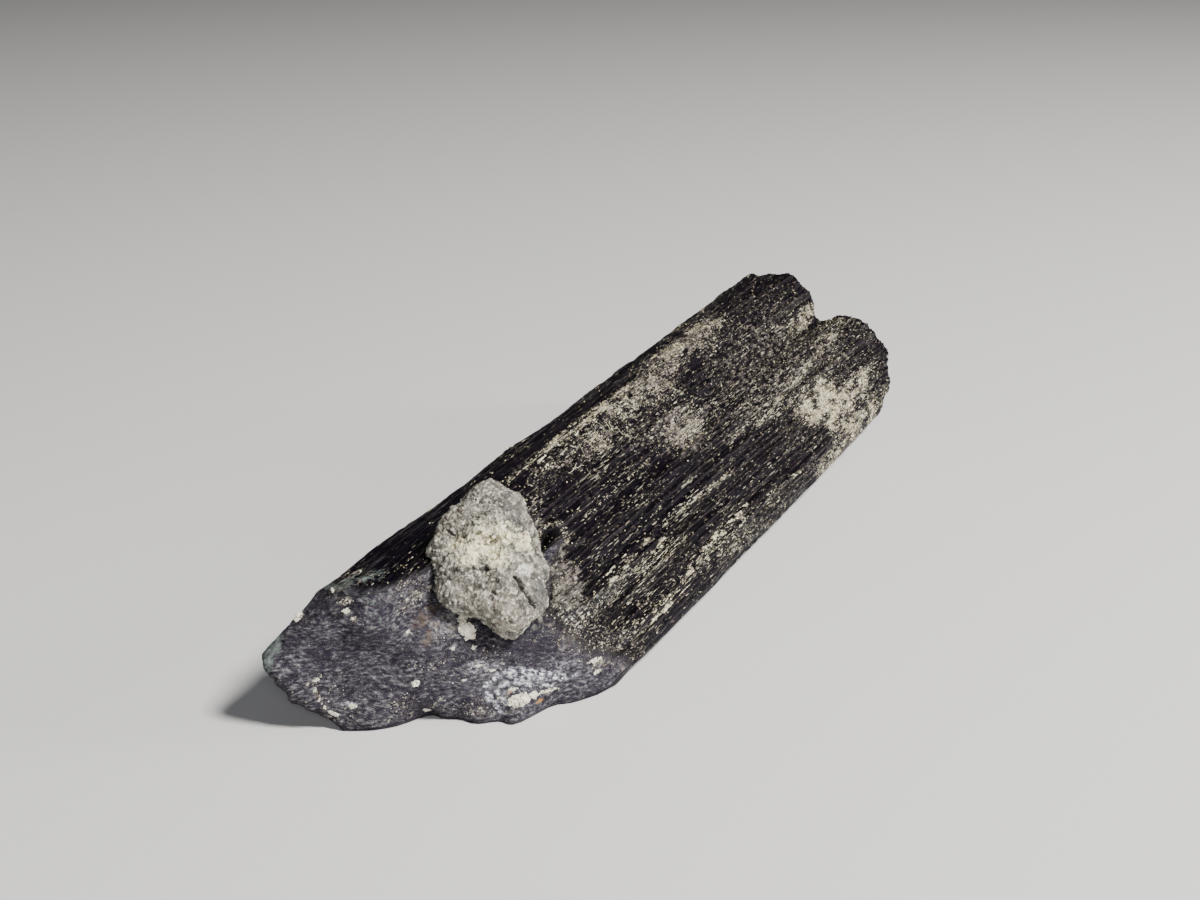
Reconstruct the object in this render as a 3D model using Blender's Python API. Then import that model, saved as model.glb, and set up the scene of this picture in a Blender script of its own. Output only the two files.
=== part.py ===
"""A rough prism of black tourmaline, broken at one end and forked at the other, with a lump of
pale granular matrix seated on its broken end. Metres, +Z up, the prism lying along X."""

import math
import random

import bmesh
import bpy
import numpy as np
from mathutils import Matrix, Vector
from mathutils.bvhtree import BVHTree
from mathutils.geometry import delaunay_2d_cdt

MM = 0.001

# Where the three drawn cross sections of the prism stand (mm along X, broken end negative).
BROKEN_END, MIDDLE, FORKED_END = -60.0, 0.0, 70.0

# The long edges of the prism as (across, up) in mm at the broken end, the middle and the forked end.
RIGHT_SOLE_EDGE = ((-16.6, 0.0), (-16.8, 0.0), (-16.8, 0.0))
RIGHT_FOOT = ((-18.9, 2.3), (-19.2, 2.5), (-19.8, 4.8))
GRITTY_RIDGE = ((-18.2, 6.0), (-18.4, 6.6), (-20.9, 9.5))
RECESS_RIDGE = ((-13.9, 10.5), (-14.0, 11.6), (-20.2, 15.0))
RIGHT_SHOULDER = ((-9.5, 12.9), (-10.0, 15.2), (-16.4, 20.1))
FORK_LINE = ((-4.5, 15.3), (-5.6, 18.2), (-8.2, 21.4))
CREST = ((4.0, 17.6), (3.8, 22.3), (-0.4, 27.0))
LEFT_SLOPE = ((9.5, 17.0), (9.2, 20.1), (6.0, 25.9))
LEFT_EDGE = ((14.3, 15.7), (14.3, 17.1), (12.4, 21.9))
LEFT_FLANK = ((17.3, 10.0), (17.2, 11.0), (16.3, 13.5))
LEFT_BEVEL = ((13.4, 4.2), (13.4, 4.4), (13.2, 5.0))
LEFT_SOLE_EDGE = ((8.0, 0.0), (8.2, 0.0), (8.0, 0.0))
EDGE_LINES = (RIGHT_SOLE_EDGE, RIGHT_FOOT, GRITTY_RIDGE, RECESS_RIDGE, RIGHT_SHOULDER, FORK_LINE,
              CREST, LEFT_SLOPE, LEFT_EDGE, LEFT_FLANK, LEFT_BEVEL, LEFT_SOLE_EDGE)
# How many strips each prism face is divided into, going over the top from sole edge to sole edge.
STRIPS = (3, 4, 8, 7, 7, 11, 5, 6, 7, 5, 3)
SOLE_STRIPS = 18
STATIONS = 46
# Spacing of the points that shape the broken end and the forked end, in mm.
FACE_SPACING, LOBE_SPACING = 1.35, 2.2

# Lengthwise growth ridges: how deep, and how far a ridge keeps its height along the prism.
STRIATION_DEPTH = 0.26
STRIATION_RUN = 26.0
# Steps and grooves on the flank: (edge position, half width, from x, to x, depth in mm). The edge
# position counts the long edges from the right sole edge, so 3.3 is a third of a face above edge 3.
FLANK_RECESSES = (
    (2.75, 0.20, -29.0, 2.0, 0.95),
    (3.20, 0.16, -24.0, -2.0, 0.60),
    (4.55, 0.15, -34.0, 18.0, 0.80),
    (4.95, 0.16, -12.0, 66.0, 0.55),
    (2.30, 0.12, -44.0, 30.0, 0.35),
    (6.55, 0.22, -40.0, 14.0, 0.30),
    (3.75, 0.12, 6.0, 58.0, 0.45),
    (1.55, 0.16, -42.0, 46.0, 0.40),
    (8.50, 0.16, -50.0, 26.0, 0.45),
    (9.25, 0.22, -30.0, 58.0, 0.50),
)
# Raised ledges on the flank, given the same way.
FLANK_LEDGES = (
    (2.00, 0.30, -44.0, 40.0, 0.55),
    (3.00, 0.22, -36.0, 4.0, 0.35),
    (4.05, 0.18, -6.0, 40.0, 0.45),
    (5.80, 0.22, -24.0, 44.0, 0.50),
    (7.90, 0.24, -52.0, 60.0, 0.35),
    (8.00, 0.34, -22.0, -2.0, 0.55),
    (7.40, 0.30, 4.0, 22.0, 0.40),
    (2.60, 0.30, 38.0, 66.0, 0.60),
    (8.85, 0.18, -44.0, 50.0, 0.40),
    (9.70, 0.24, -20.0, 40.0, 0.45),
)
# Pits broken into the flank: (edge position, x, radius, depth).
FLANK_PITS = (
    (4.95, -35.6, 1.35, 2.3),
    (3.45, 22.0, 1.5, 0.8),
    (2.35, 54.0, 1.8, 1.2),
    (5.35, 9.0, 2.2, 0.6),
    (7.40, 33.0, 2.0, 0.7),
    (9.30, -12.0, 2.6, 0.9),
    (9.60, 36.0, 2.2, 0.8),
)

# The fork: a V-shaped groove along the fork line that deepens towards the forked end.
FORK_START, FORK_DEPTH, FORK_HALF_WIDTH = 12.0, 3.4, 0.36

# The broken end: a steep uneven face, slanting in plan, bevelled at its upper left.
FACE_X, FACE_SLANT, FACE_CORNER_RISE, FACE_CORNER_RUN = -62.6, 0.56, 8.8, 4.2
FACE_LEAN, FACE_TIP_REACH = 0.24, 0.018
BEVEL_RUN = 2.1
# The seat for the matrix, a ramp broken out of the face below the crest.
SEAT_RUN, SEAT_RIGHT, SEAT_LEFT, SEAT_LIP = 1.60, -12.0, 4.2, 8.8
# Bumps and hollows of the broken face: (across, up, radius, height); a negative height is a hollow.
FACE_BUMPS = (
    (5.6, 13.4, 3.8, 1.5),
    (-2.6, 10.9, 1.8, 1.6),
    (10.6, 9.0, 3.4, -0.5),
    (13.4, 6.6, 3.2, 0.8),
    (11.6, 3.0, 2.6, 0.7),
    (5.6, 1.6, 2.6, 1.5),
    (0.0, 0.0, 3.0, -4.2),
    (-3.4, 0.0, 2.4, -2.4),
    (-6.4, 1.6, 3.0, 0.6),
    (-10.5, 0.4, 2.0, 3.6),
    (-7.2, 6.4, 2.6, -0.9),
    (-13.0, 0.4, 2.0, -3.4),
    (10.6, 0.0, 2.2, -1.6),
    (-13.6, 6.6, 2.4, 0.7),
    (-1.8, 8.0, 2.2, -0.7),
    (4.4, 7.4, 2.4, -0.8),
    (15.4, 10.6, 2.0, -0.6),
    (10.4, 15.6, 2.0, 0.7),
)
FACE_ROUGHNESS = 0.42
# The forked end: how far each lobe reaches, and how much its break is rounded and rough.
LEFT_LOBE_X, RIGHT_LOBE_X, LOBE_ROUNDING, LOBE_ROUGHNESS = 75.6, 73.4, 3.2, 0.75

# The matrix lump: a rounded boulder lying back against its seat. The reaches give its outline in
# mm from its centre, every 24 degrees counter-clockwise from its right-hand side.
LUMP_CENTRE = (-47.3, -2.7, 18.5)
LUMP_FACING = (-0.55, -0.25, 0.80)
LUMP_RIGHT = (0.414, -0.910, 0.0)
LUMP_REACHES = (6.6, 6.2, 6.9, 9.2, 9.8, 8.4, 7.7, 7.2, 7.8, 9.3, 9.4, 9.6, 12.2, 10.2, 7.9)
LUMP_FRONT, LUMP_BACK, LUMP_ROUNDNESS = 4.6, 7.5, 2.3
LUMP_CUTS = 12
LUMP_ROUGHNESS = 0.75
# Knobs standing out of the lump's front: (x, across, up, radius, height).
LUMP_KNOBS = (
    (-53.4, -7.4, 14.2, 3.0, 0.9),
    (-50.2, 1.6, 19.4, 2.6, 0.7),
    (-47.0, -5.0, 21.8, 2.4, 0.7),
    (-43.6, -1.0, 24.2, 2.6, 0.5),
    (-50.0, -8.6, 17.4, 1.9, 0.8),
)
# Clefts and pits of the lump: (x, across, up, radius, depth).
LUMP_PITS = (
    (-48.6, 2.8, 20.6, 1.3, 0.9),
    (-46.6, -5.2, 21.6, 1.2, 1.1),
    (-52.8, -5.4, 17.0, 1.6, 0.8),
    (-46.2, -9.0, 17.6, 1.3, 0.9),
    (-53.0, -1.4, 17.4, 1.2, 0.7),
    (-43.6, -3.4, 23.4, 1.1, 0.6),
)
SEAM_GAP = 0.42

rng = random.Random(4107)


def smooth(value):
    """0 below 0, 1 above 1, eased between."""
    t = np.clip(value, 0.0, 1.0)
    return t * t * (3.0 - 2.0 * t)


def edge_points(x):
    """The corners of the prism's cross section at x, through the three drawn sections."""
    a = (x - MIDDLE) * (x - FORKED_END) / ((BROKEN_END - MIDDLE) * (BROKEN_END - FORKED_END))
    b = (x - BROKEN_END) * (x - FORKED_END) / ((MIDDLE - BROKEN_END) * (MIDDLE - FORKED_END))
    c = (x - BROKEN_END) * (x - MIDDLE) / ((FORKED_END - BROKEN_END) * (FORKED_END - MIDDLE))
    return [(a * n[0] + b * m[0] + c * f[0], a * n[1] + b * m[1] + c * f[1])
            for n, m, f in EDGE_LINES]


class Waves:
    """A smooth random value along a line or over a surface, from a few seeded sine waves."""

    def __init__(self, count, shortest, longest):
        self.parts = []
        for _ in range(count):
            turn = rng.uniform(0.0, math.pi)
            length = rng.uniform(shortest, longest)
            self.parts.append((math.cos(turn) * 2 * math.pi / length,
                               math.sin(turn) * 2 * math.pi / length,
                               rng.uniform(0.0, 2 * math.pi), length / longest))

    def at(self, u, v=0.0):
        total = sum(w for _, _, _, w in self.parts)
        return sum(w * math.sin(a * u + b * v + p) for a, b, p, w in self.parts) / total * 1.6


face_waves = Waves(14, 2.6, 9.0)
fork_waves = Waves(12, 3.0, 10.0)
lump_waves = [Waves(10, 2.0, 6.5) for _ in range(3)]


def make_striations(count):
    """For each line of the section, a ridge height that comes and goes along the prism."""
    lines = []
    for _ in range(count):
        lines.append((rng.uniform(-1.0, 1.0), rng.uniform(0.4, 1.0),
                      rng.uniform(0.0, 2 * math.pi), rng.uniform(0.7, 1.5) * STRIATION_RUN,
                      rng.uniform(0.0, 2 * math.pi), rng.uniform(0.25, 0.5) * STRIATION_RUN))
    return lines


def striation(line, x):
    base, swing, p1, l1, p2, l2 = line
    return (base + swing * (0.7 * math.sin(2 * math.pi * x / l1 + p1)
                            + 0.4 * math.sin(2 * math.pi * x / l2 + p2))) * 0.6


def relief(place, x, line):
    """Height of the prism's surface above its drawn faces at an edge position and x, in mm."""
    away = min(place, len(EDGE_LINES) - 1 - place)
    height = STRIATION_DEPTH * striation(line, x) * smooth(away / 0.6)
    for centre, half, start, end, depth in FLANK_RECESSES:
        across = smooth((half - abs(place - centre)) / (0.5 * half) + 0.5)
        along = smooth((x - start) / 5.0) * smooth((end - x) / 7.0)
        height -= depth * across * along
    for centre, half, start, end, rise in FLANK_LEDGES:
        across = max(0.0, 1.0 - abs(place - centre) / half)
        height += rise * across * smooth((x - start) / 6.0) * smooth((end - x) / 6.0)
    for centre, along, radius, depth in FLANK_PITS:
        far = math.hypot((place - centre) * 6.0, x - along) / radius
        height -= depth * smooth(1.35 - far)
    fork = max(0.0, 1.0 - abs(place - 5.06) / FORK_HALF_WIDTH)
    height -= FORK_DEPTH * fork * smooth((x - FORK_START) / (FORKED_END - FORK_START)) ** 1.4
    return height


def prism_point(place, x, line):
    """(across, up) of the prism's surface at an edge position and x."""
    corners = edge_points(x)
    face = min(int(place), len(corners) - 2)
    part = place - face
    (y0, z0), (y1, z1) = corners[face], corners[face + 1]
    y, z = y0 + (y1 - y0) * part, z0 + (z1 - z0) * part
    # The outward direction turns smoothly from one face to the next.
    directions = []
    for k in (face - 1, face, face + 1):
        k = min(max(k, 0), len(corners) - 2)
        (p, q), (r, s) = corners[k], corners[k + 1]
        length = math.hypot(r - p, s - q)
        directions.append(((q - s) / length * -1.0, (r - p) / length * -1.0))
    blend = 0.5 + part * 0.5 if part < 0.5 else 1.0 - (part - 0.5) * 0.5
    other = directions[0] if part < 0.5 else directions[2]
    ny = directions[1][0] * blend * 2 + other[0] * (1 - blend)
    nz = directions[1][1] * blend * 2 + other[1] * (1 - blend)
    size = math.hypot(ny, nz)
    rise = relief(place, x, line)
    y, z = y - ny / size * rise, z - nz / size * rise
    on_sole = place <= 0.0 or place >= len(corners) - 1
    return y, 0.0 if on_sole else max(z, 0.12)


def bumps_at(y, z):
    total = 0.0
    for across, up, radius, rise in FACE_BUMPS:
        far = math.hypot(y - across, z - up) / radius
        total += rise * (1.0 - smooth(far))
    return total


def broken_face(y, z):
    """x of the broken end at a point of the cross section: the break slants, leans and is uneven."""
    x = FACE_X - FACE_SLANT * y
    x += FACE_CORNER_RISE * math.exp(-(y + 17.0) / FACE_CORNER_RUN)
    x -= FACE_TIP_REACH * max(0.0, y - 7.0) ** 2
    x += (FACE_LEAN + 0.36 * smooth((4.0 - y) / 14.0)) * z
    x += BEVEL_RUN * max(0.0, z - 9.6 - 0.9 * (17.0 - y)) * smooth((y - 6.0) / 5.0)
    seat = smooth((y - SEAT_RIGHT) / 3.0) * smooth((SEAT_LEFT - y) / 3.0)
    lip = SEAT_LIP + 0.20 * max(0.0, y + 6.0) + 0.30 * max(0.0, -6.0 - y)
    x += SEAT_RUN * seat * max(0.0, z - lip)
    x -= bumps_at(y, z)
    x -= FACE_ROUGHNESS * face_waves.at(y * 1.0, z * 1.6)
    return x


def forked_face(y, z, away):
    """x of the forked end: two rough lobes, rounded off over the last few mm before the rim."""
    lobe = smooth((y + 9.0) / 3.0)
    x = RIGHT_LOBE_X + (LEFT_LOBE_X - RIGHT_LOBE_X) * lobe
    x -= LOBE_ROUNDING * max(0.0, 1.0 - away / 4.5) ** 2
    x += LOBE_ROUGHNESS * fork_waves.at(y, z) + 0.07 * (z - 12.0) * (0.4 - lobe)
    return x


def inside_outline(point, outline):
    y, z = point
    odd = False
    for (y0, z0), (y1, z1) in zip(outline, np.roll(outline, -1, axis=0)):
        if (z0 > z) != (z1 > z) and y < y0 + (z - z0) / (z1 - z0) * (y1 - y0):
            odd = not odd
    return odd


def rim_distance(point, outline):
    start, end = outline, np.roll(outline, -1, axis=0)
    along = end - start
    t = ((point - start) * along).sum(axis=1) / np.maximum((along ** 2).sum(axis=1), 1e-9)
    nearest = start + along * np.clip(t, 0.0, 1.0)[:, None]
    return float(np.sqrt(((point - nearest) ** 2).sum(axis=1)).min())


def ring_places():
    places = []
    for face, count in enumerate(STRIPS):
        places += [face + k / count for k in range(count)]
    return places + [float(len(STRIPS))]


def build_prism():
    places = ring_places()
    lines = make_striations(len(places))
    columns = []
    for place, line in zip(places, lines):
        near_x, far_x = -60.0, 70.0
        for _ in range(14):
            y, z = prism_point(place, near_x, line)
            near_x += 0.6 * (min(broken_face(y, z), -30.0) - near_x)
            y, z = prism_point(place, far_x, line)
            far_x += 0.6 * (forked_face(y, z, 0.0) - far_x)
        column = []
        for j in range(STATIONS + 1):
            u = j / STATIONS
            u = 0.82 * u + 0.18 * (u * u * (3.0 - 2.0 * u))
            x = near_x + (far_x - near_x) * u
            y, z = prism_point(place, x, line)
            column.append((x, y, z))
        columns.append(column)

    mesh = bmesh.new()
    grid = [[mesh.verts.new(Vector(p) * MM) for p in column] for column in columns]
    for i in range(len(grid) - 1):
        for j in range(STATIONS):
            mesh.faces.new((grid[i][j], grid[i + 1][j], grid[i + 1][j + 1], grid[i][j + 1]))

    def end_cap(station, face_x, spacing, turned):
        """Closes one end: points scattered over the cross section, each set on the break."""
        ring = [grid[i][station] for i in range(len(grid))]
        rim = [(columns[i][station][1], columns[i][station][2]) for i in range(len(columns))]
        left, right = rim[-1], rim[0]
        for k in range(1, SOLE_STRIPS):
            t = k / SOLE_STRIPS
            y = left[0] + (right[0] - left[0]) * t
            rim.append((y, 0.0))
            ring.append(mesh.verts.new(Vector((face_x(y, 0.0, 0.0), y, 0.0)) * MM))
        sole = ring[len(grid) - 1:] + [ring[0]]
        outline = np.array(rim)
        inner = []
        low, high = outline.min(axis=0), outline.max(axis=0)
        rows = int((high[1] - low[1]) / (spacing * 0.87)) + 1
        for row in range(rows + 1):
            z = low[1] + row * spacing * 0.87
            for step in range(int((high[0] - low[0]) / spacing) + 2):
                y = low[0] + (step + 0.5 * (row % 2)) * spacing
                point = (y + rng.uniform(-0.2, 0.2) * spacing, z + rng.uniform(-0.2, 0.2) * spacing)
                if inside_outline(point, outline) and rim_distance(point, outline) > 0.55 * spacing:
                    inner.append(point)
        count = len(rim)
        border = [(k, (k + 1) % count) for k in range(count)]
        spots = [Vector(p) for p in rim + inner]
        placed, _, triangles, sources, _, _ = delaunay_2d_cdt(spots, border, [], 1, 1e-6)
        verts = []
        for point, source in zip(placed, sources):
            if source and source[0] < count:
                verts.append(ring[source[0]])
            else:
                away = rim_distance(tuple(point), outline)
                verts.append(mesh.verts.new(Vector((face_x(point.x, point.y, away), *point)) * MM))
        for tri in triangles:
            corners = [placed[k] for k in tri]
            area = (corners[1] - corners[0]).cross(corners[2] - corners[0])
            tri = [verts[k] for k in (tri if area > 0 else tri[::-1])]
            mesh.faces.new(tri if turned else tri[::-1])
        return sole

    near_sole = end_cap(0, lambda y, z, away: broken_face(y, z), FACE_SPACING, False)
    far_sole = end_cap(STATIONS, forked_face, LOBE_SPACING, True)
    border = [grid[0][j] for j in range(STATIONS + 1)]
    border += far_sole[::-1][1:]
    border += [grid[-1][j] for j in range(STATIONS - 1, -1, -1)]
    border += near_sole[1:-1]
    mesh.faces.new(border)
    mesh.normal_update()
    bmesh.ops.triangulate(mesh, faces=mesh.faces[:], ngon_method="BEAUTY")
    bmesh.ops.recalc_face_normals(mesh, faces=mesh.faces[:])
    return mesh


def lump_reach(direction):
    """How far the lump reaches from its centre in one direction, in mm."""
    facing = np.array(LUMP_FACING) / np.linalg.norm(LUMP_FACING)
    right = np.array(LUMP_RIGHT) - facing * float(facing @ np.array(LUMP_RIGHT))
    right /= np.linalg.norm(right)
    over = np.cross(facing, right)
    out, side, rise = float(direction @ facing), float(direction @ right), float(direction @ over)
    turn = (math.atan2(rise, side) / (2 * math.pi)) % 1.0 * len(LUMP_REACHES)
    first = int(turn)
    blend = smooth(turn - first)
    reaches = LUMP_REACHES[first % len(LUMP_REACHES)], LUMP_REACHES[(first + 1) % len(LUMP_REACHES)]
    outline = reaches[0] * (1 - blend) + reaches[1] * blend
    depth = LUMP_FRONT if out > 0 else LUMP_BACK
    flat = math.hypot(side, rise)
    far = ((flat / outline) ** LUMP_ROUNDNESS + (abs(out) / depth) ** LUMP_ROUNDNESS) ** (-1.0 / LUMP_ROUNDNESS)
    point = np.array(LUMP_CENTRE) + direction * far
    swell = LUMP_ROUGHNESS * (lump_waves[0].at(point[0], point[1]) + lump_waves[1].at(point[1], point[2])
                              + lump_waves[2].at(point[2], point[0])) * 0.6
    for x, y, z, radius, height in LUMP_KNOBS:
        gap = float(np.linalg.norm(point - np.array((x, y, z)))) / radius
        swell += height * (1.0 - smooth(gap / 1.2))
    for x, y, z, radius, depth in LUMP_PITS:
        gap = float(np.linalg.norm(point - np.array((x, y, z)))) / radius
        swell -= depth * (1.0 - smooth(gap / 1.3))
    return far + swell


def build_lump(prism):
    """The matrix, grown out from its centre until it meets the prism, less a hair of a seam."""
    tree = BVHTree.FromBMesh(prism)
    mesh = bmesh.new()
    bmesh.ops.create_cube(mesh, size=2.0)
    bmesh.ops.subdivide_edges(mesh, edges=mesh.edges[:], cuts=LUMP_CUTS, use_grid_fill=True)
    centre = Vector(LUMP_CENTRE) * MM
    for vert in mesh.verts:
        spread = Vector([math.tan(c * math.pi / 4) for c in vert.co]).normalized()
        reach = lump_reach(np.array(spread)) * MM
        hit, normal, _, far = tree.ray_cast(centre, spread)
        if hit is not None:
            facing = max(0.25, abs(normal.dot(spread)))
            reach = min(reach, far - SEAM_GAP * MM / facing)
        for _ in range(30):
            point = centre + spread * reach
            near, _, _, clear = tree.find_nearest(point)
            if clear >= SEAM_GAP * MM or reach < 0.0012:
                break
            reach -= max(0.00003, (SEAM_GAP * MM - clear) * 0.6)
        vert.co = centre + spread * reach
    bmesh.ops.triangulate(mesh, faces=mesh.faces[:])
    bmesh.ops.recalc_face_normals(mesh, faces=mesh.faces[:])
    return mesh


def make_object(name, mesh, colour, roughness, metallic):
    data = bpy.data.meshes.new(name)
    mesh.to_mesh(data)
    mesh.free()
    material = bpy.data.materials.new(name + "_stone")
    material.use_nodes = True
    shader = material.node_tree.nodes["Principled BSDF"]
    shader.inputs["Base Color"].default_value = (*colour, 1.0)
    shader.inputs["Roughness"].default_value = roughness
    shader.inputs["Metallic"].default_value = metallic
    data.materials.append(material)
    thing = bpy.data.objects.new(name, data)
    bpy.context.scene.collection.objects.link(thing)
    return thing


def main():
    for thing in list(bpy.data.objects):
        bpy.data.objects.remove(thing, do_unlink=True)
    prism = build_prism()
    lump = build_lump(prism)
    xs = [v.co.x for v in prism.verts] + [v.co.x for v in lump.verts]
    ys = [v.co.y for v in prism.verts] + [v.co.y for v in lump.verts]
    centre = Vector(((min(xs) + max(xs)) / 2, (min(ys) + max(ys)) / 2, 0.0))
    for mesh in (prism, lump):
        bmesh.ops.transform(mesh, matrix=Matrix.Translation(-centre), verts=mesh.verts[:])
    make_object("tourmaline_crystal", prism, (0.022, 0.019, 0.024), 0.42, 0.0)
    make_object("matrix_lump", lump, (0.40, 0.38, 0.34), 0.85, 0.0)


main()
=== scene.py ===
"""The looks of a rough black tourmaline crystal with a lump of granular matrix on its broken end.

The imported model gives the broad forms. Here each of its two solids gets a finer mesh laid over it,
with the growth ribs, steps, pits and grain of the real mineral, and the cream crust that has
settled on the ridges is built as loose grains and threads. Lengths in the making are millimetres,
measured in the crystal's drawing: X along the prism, the broken end negative, Z up from the sole."""

import math
from itertools import product

import bmesh
import bpy
import numpy as np
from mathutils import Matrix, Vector
from mathutils.bvhtree import BVHTree
from mathutils.geometry import delaunay_2d_cdt


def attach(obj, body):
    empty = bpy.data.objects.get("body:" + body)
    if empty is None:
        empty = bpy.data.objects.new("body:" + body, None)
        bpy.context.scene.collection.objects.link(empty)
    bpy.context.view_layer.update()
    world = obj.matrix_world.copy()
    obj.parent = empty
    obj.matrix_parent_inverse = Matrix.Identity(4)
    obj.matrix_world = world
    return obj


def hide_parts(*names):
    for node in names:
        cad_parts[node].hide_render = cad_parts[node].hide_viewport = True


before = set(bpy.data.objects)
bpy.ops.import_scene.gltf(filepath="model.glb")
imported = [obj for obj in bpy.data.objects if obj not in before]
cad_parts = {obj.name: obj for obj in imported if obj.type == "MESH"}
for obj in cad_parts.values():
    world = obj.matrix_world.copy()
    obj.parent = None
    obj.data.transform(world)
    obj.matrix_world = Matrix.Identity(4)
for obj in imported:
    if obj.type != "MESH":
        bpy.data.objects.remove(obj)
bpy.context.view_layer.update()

MM = 0.001
# Where the drawing's origin lies in the model's frame, in mm.
DRAWING_ORIGIN = np.array((-2.3368, 1.7452, 0.0))

# The long edges of the prism as (across, up) at x = -60, 0 and 70, from the right sole edge over
# the crest to the left sole edge. A place on the prism counts these edges, so 3.3 is a third of a
# face above edge 3, and places 11 to 12 are the sole.
EDGE_LINES = np.array((
    ((-16.6, 0), (-16.8, 0), (-16.8, 0)), ((-18.9, 2.3), (-19.2, 2.5), (-19.8, 4.8)),
    ((-18.2, 6), (-18.4, 6.6), (-20.9, 9.5)), ((-13.9, 10.5), (-14, 11.6), (-20.2, 15)),
    ((-9.5, 12.9), (-10, 15.2), (-16.4, 20.1)), ((-4.5, 15.3), (-5.6, 18.2), (-8.2, 21.4)),
    ((4, 17.6), (3.8, 22.3), (-0.4, 27)), ((9.5, 17), (9.2, 20.1), (6, 25.9)),
    ((14.3, 15.7), (14.3, 17.1), (12.4, 21.9)), ((17.3, 10), (17.2, 11), (16.3, 13.5)),
    ((13.4, 4.2), (13.4, 4.4), (13.2, 5)), ((8, 0), (8.2, 0), (8, 0)),
    ((-16.6, 0), (-16.8, 0), (-16.8, 0)),
))
SECTION_X = (-60.0, 0.0, 70.0)
CREST, SOLE = 6.0, 11.0
# How far apart the fine columns stand on each face, from the right foot round to the sole.
COLUMN_GAPS = (0.22, 0.16, 0.15, 0.15, 0.15, 0.155, 0.17, 0.19, 0.24, 0.27, 0.3, 0.7)
STATIONS, DRAWN_STATIONS = 194, 5
BREAK_GAP, FORK_GAP = 0.215, 0.5

rng = np.random.default_rng(7213)


# ---- random fields ----

def smooth(value):
    """0 below 0, 1 above 1, eased between."""
    t = np.clip(value, 0.0, 1.0)
    return t * t * (3 - 2 * t)


def unit(vectors):
    """The same directions, each one long."""
    return vectors / np.linalg.norm(vectors, axis=-1, keepdims=True)


def flat(a, b, c=0.0):
    """Points for the random fields from two coordinates, all on one level."""
    return np.stack((a, b, c + 0 * a), -1)


def lattice(cell, seed):
    """A fixed random number, 0 to 1, for each corner of a cubic lattice."""
    h = (cell[..., 0] * 73856093 ^ cell[..., 1] * 19349663 ^ cell[..., 2] * 83492791
         ^ seed * 39916801) & 0x7FFFFFFF
    h = (h ^ (h >> 15)) * 739982445 & 0x7FFFFFFF
    h = (h ^ (h >> 12)) * 695872825 & 0x7FFFFFFF
    return (h ^ (h >> 15)) / float(0x7FFFFFFF)


def clouds(points, seed):
    """A smooth random value, -1 to 1, whose features are about one unit across."""
    points = points + seed * 3.71
    cell = np.floor(points).astype(np.int64)
    t = smooth(points - cell)
    total = np.zeros(points.shape[:-1])
    for corner in product((0, 1), repeat=3):
        weight = np.prod(np.where(corner, t, 1 - t), axis=-1)
        total += weight * lattice(cell + np.array(corner), seed)
    return total * 2 - 1


def layered(points, seed, layers=3):
    """Clouds with finer clouds on them, each layer half the size and half the height."""
    total = sum(0.5 ** k * clouds(points * 2 ** k, seed + k) for k in range(layers))
    return total / sum(0.5 ** k for k in range(layers))


def pebbles(points, seed):
    """Distance to the nearest and the next of some scattered middles, and the nearest's number."""
    cell = np.floor(points).astype(np.int64)
    nearest = np.full(points.shape[:-1], 9.0)
    second, number = nearest.copy(), np.zeros(points.shape[:-1])
    for step in product((-1, 0, 1), repeat=3):
        home = cell + np.array(step)
        middle = home + np.stack([lattice(home, seed + k) for k in range(3)], -1)
        far = np.linalg.norm(points - middle, axis=-1)
        closer = far < nearest
        second = np.where(closer, nearest, np.minimum(second, far))
        number = np.where(closer, lattice(home, seed + 3), number)
        nearest = np.minimum(nearest, far)
    return nearest, second, number


def strongest(masks):
    """The strongest of some masks at each point."""
    return np.maximum.reduce(list(masks))


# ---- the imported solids, read in the drawing's millimetres ----

def solid_tree(node):
    """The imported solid's surface, for finding where a fine point lies on it."""
    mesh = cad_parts[node].data
    points = np.array([corner.co for corner in mesh.vertices]) / MM - DRAWING_ORIGIN
    return BVHTree.FromPolygons(points.tolist(), [tuple(face.vertices) for face in mesh.polygons])


def put_in_scene(name, data):
    thing = bpy.data.objects.new(name, data)
    bpy.context.scene.collection.objects.link(thing)
    return thing


def make_piece(name, points, faces, material, marks, rounded=True):
    """A mesh object from drawing points, with its marks as named values on the vertices."""
    mesh = bpy.data.meshes.new(name)
    mesh.from_pydata(((points + DRAWING_ORIGIN) * MM).tolist(), [], faces)
    turned = bmesh.new()
    turned.from_mesh(mesh)
    bmesh.ops.recalc_face_normals(turned, faces=turned.faces[:])
    turned.to_mesh(mesh)
    turned.free()
    mesh.polygons.foreach_set("use_smooth", np.full(len(mesh.polygons), rounded))
    for mark, values in marks.items():
        made = mesh.attributes.new(mark, "FLOAT", "POINT")
        made.data.foreach_set("value", np.clip(values, 0.0, 1.0).astype(np.float32))
    mesh.materials.append(material)
    piece = put_in_scene(name, mesh)
    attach(piece, "root")
    return piece


# ---- the crystal's drawn section ----

def section_line(k, x):
    """(across, up) of long edge k at x, through the three drawn sections."""
    near, middle, far = SECTION_X
    a = (x - middle) * (x - far) / ((near - middle) * (near - far))
    b = (x - near) * (x - far) / ((middle - near) * (middle - far))
    c = (x - near) * (x - middle) / ((far - near) * (far - middle))
    lines = EDGE_LINES[k]
    return sum(w[..., None] * lines[:, None, n] for n, w in enumerate((a, b, c)))


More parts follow.
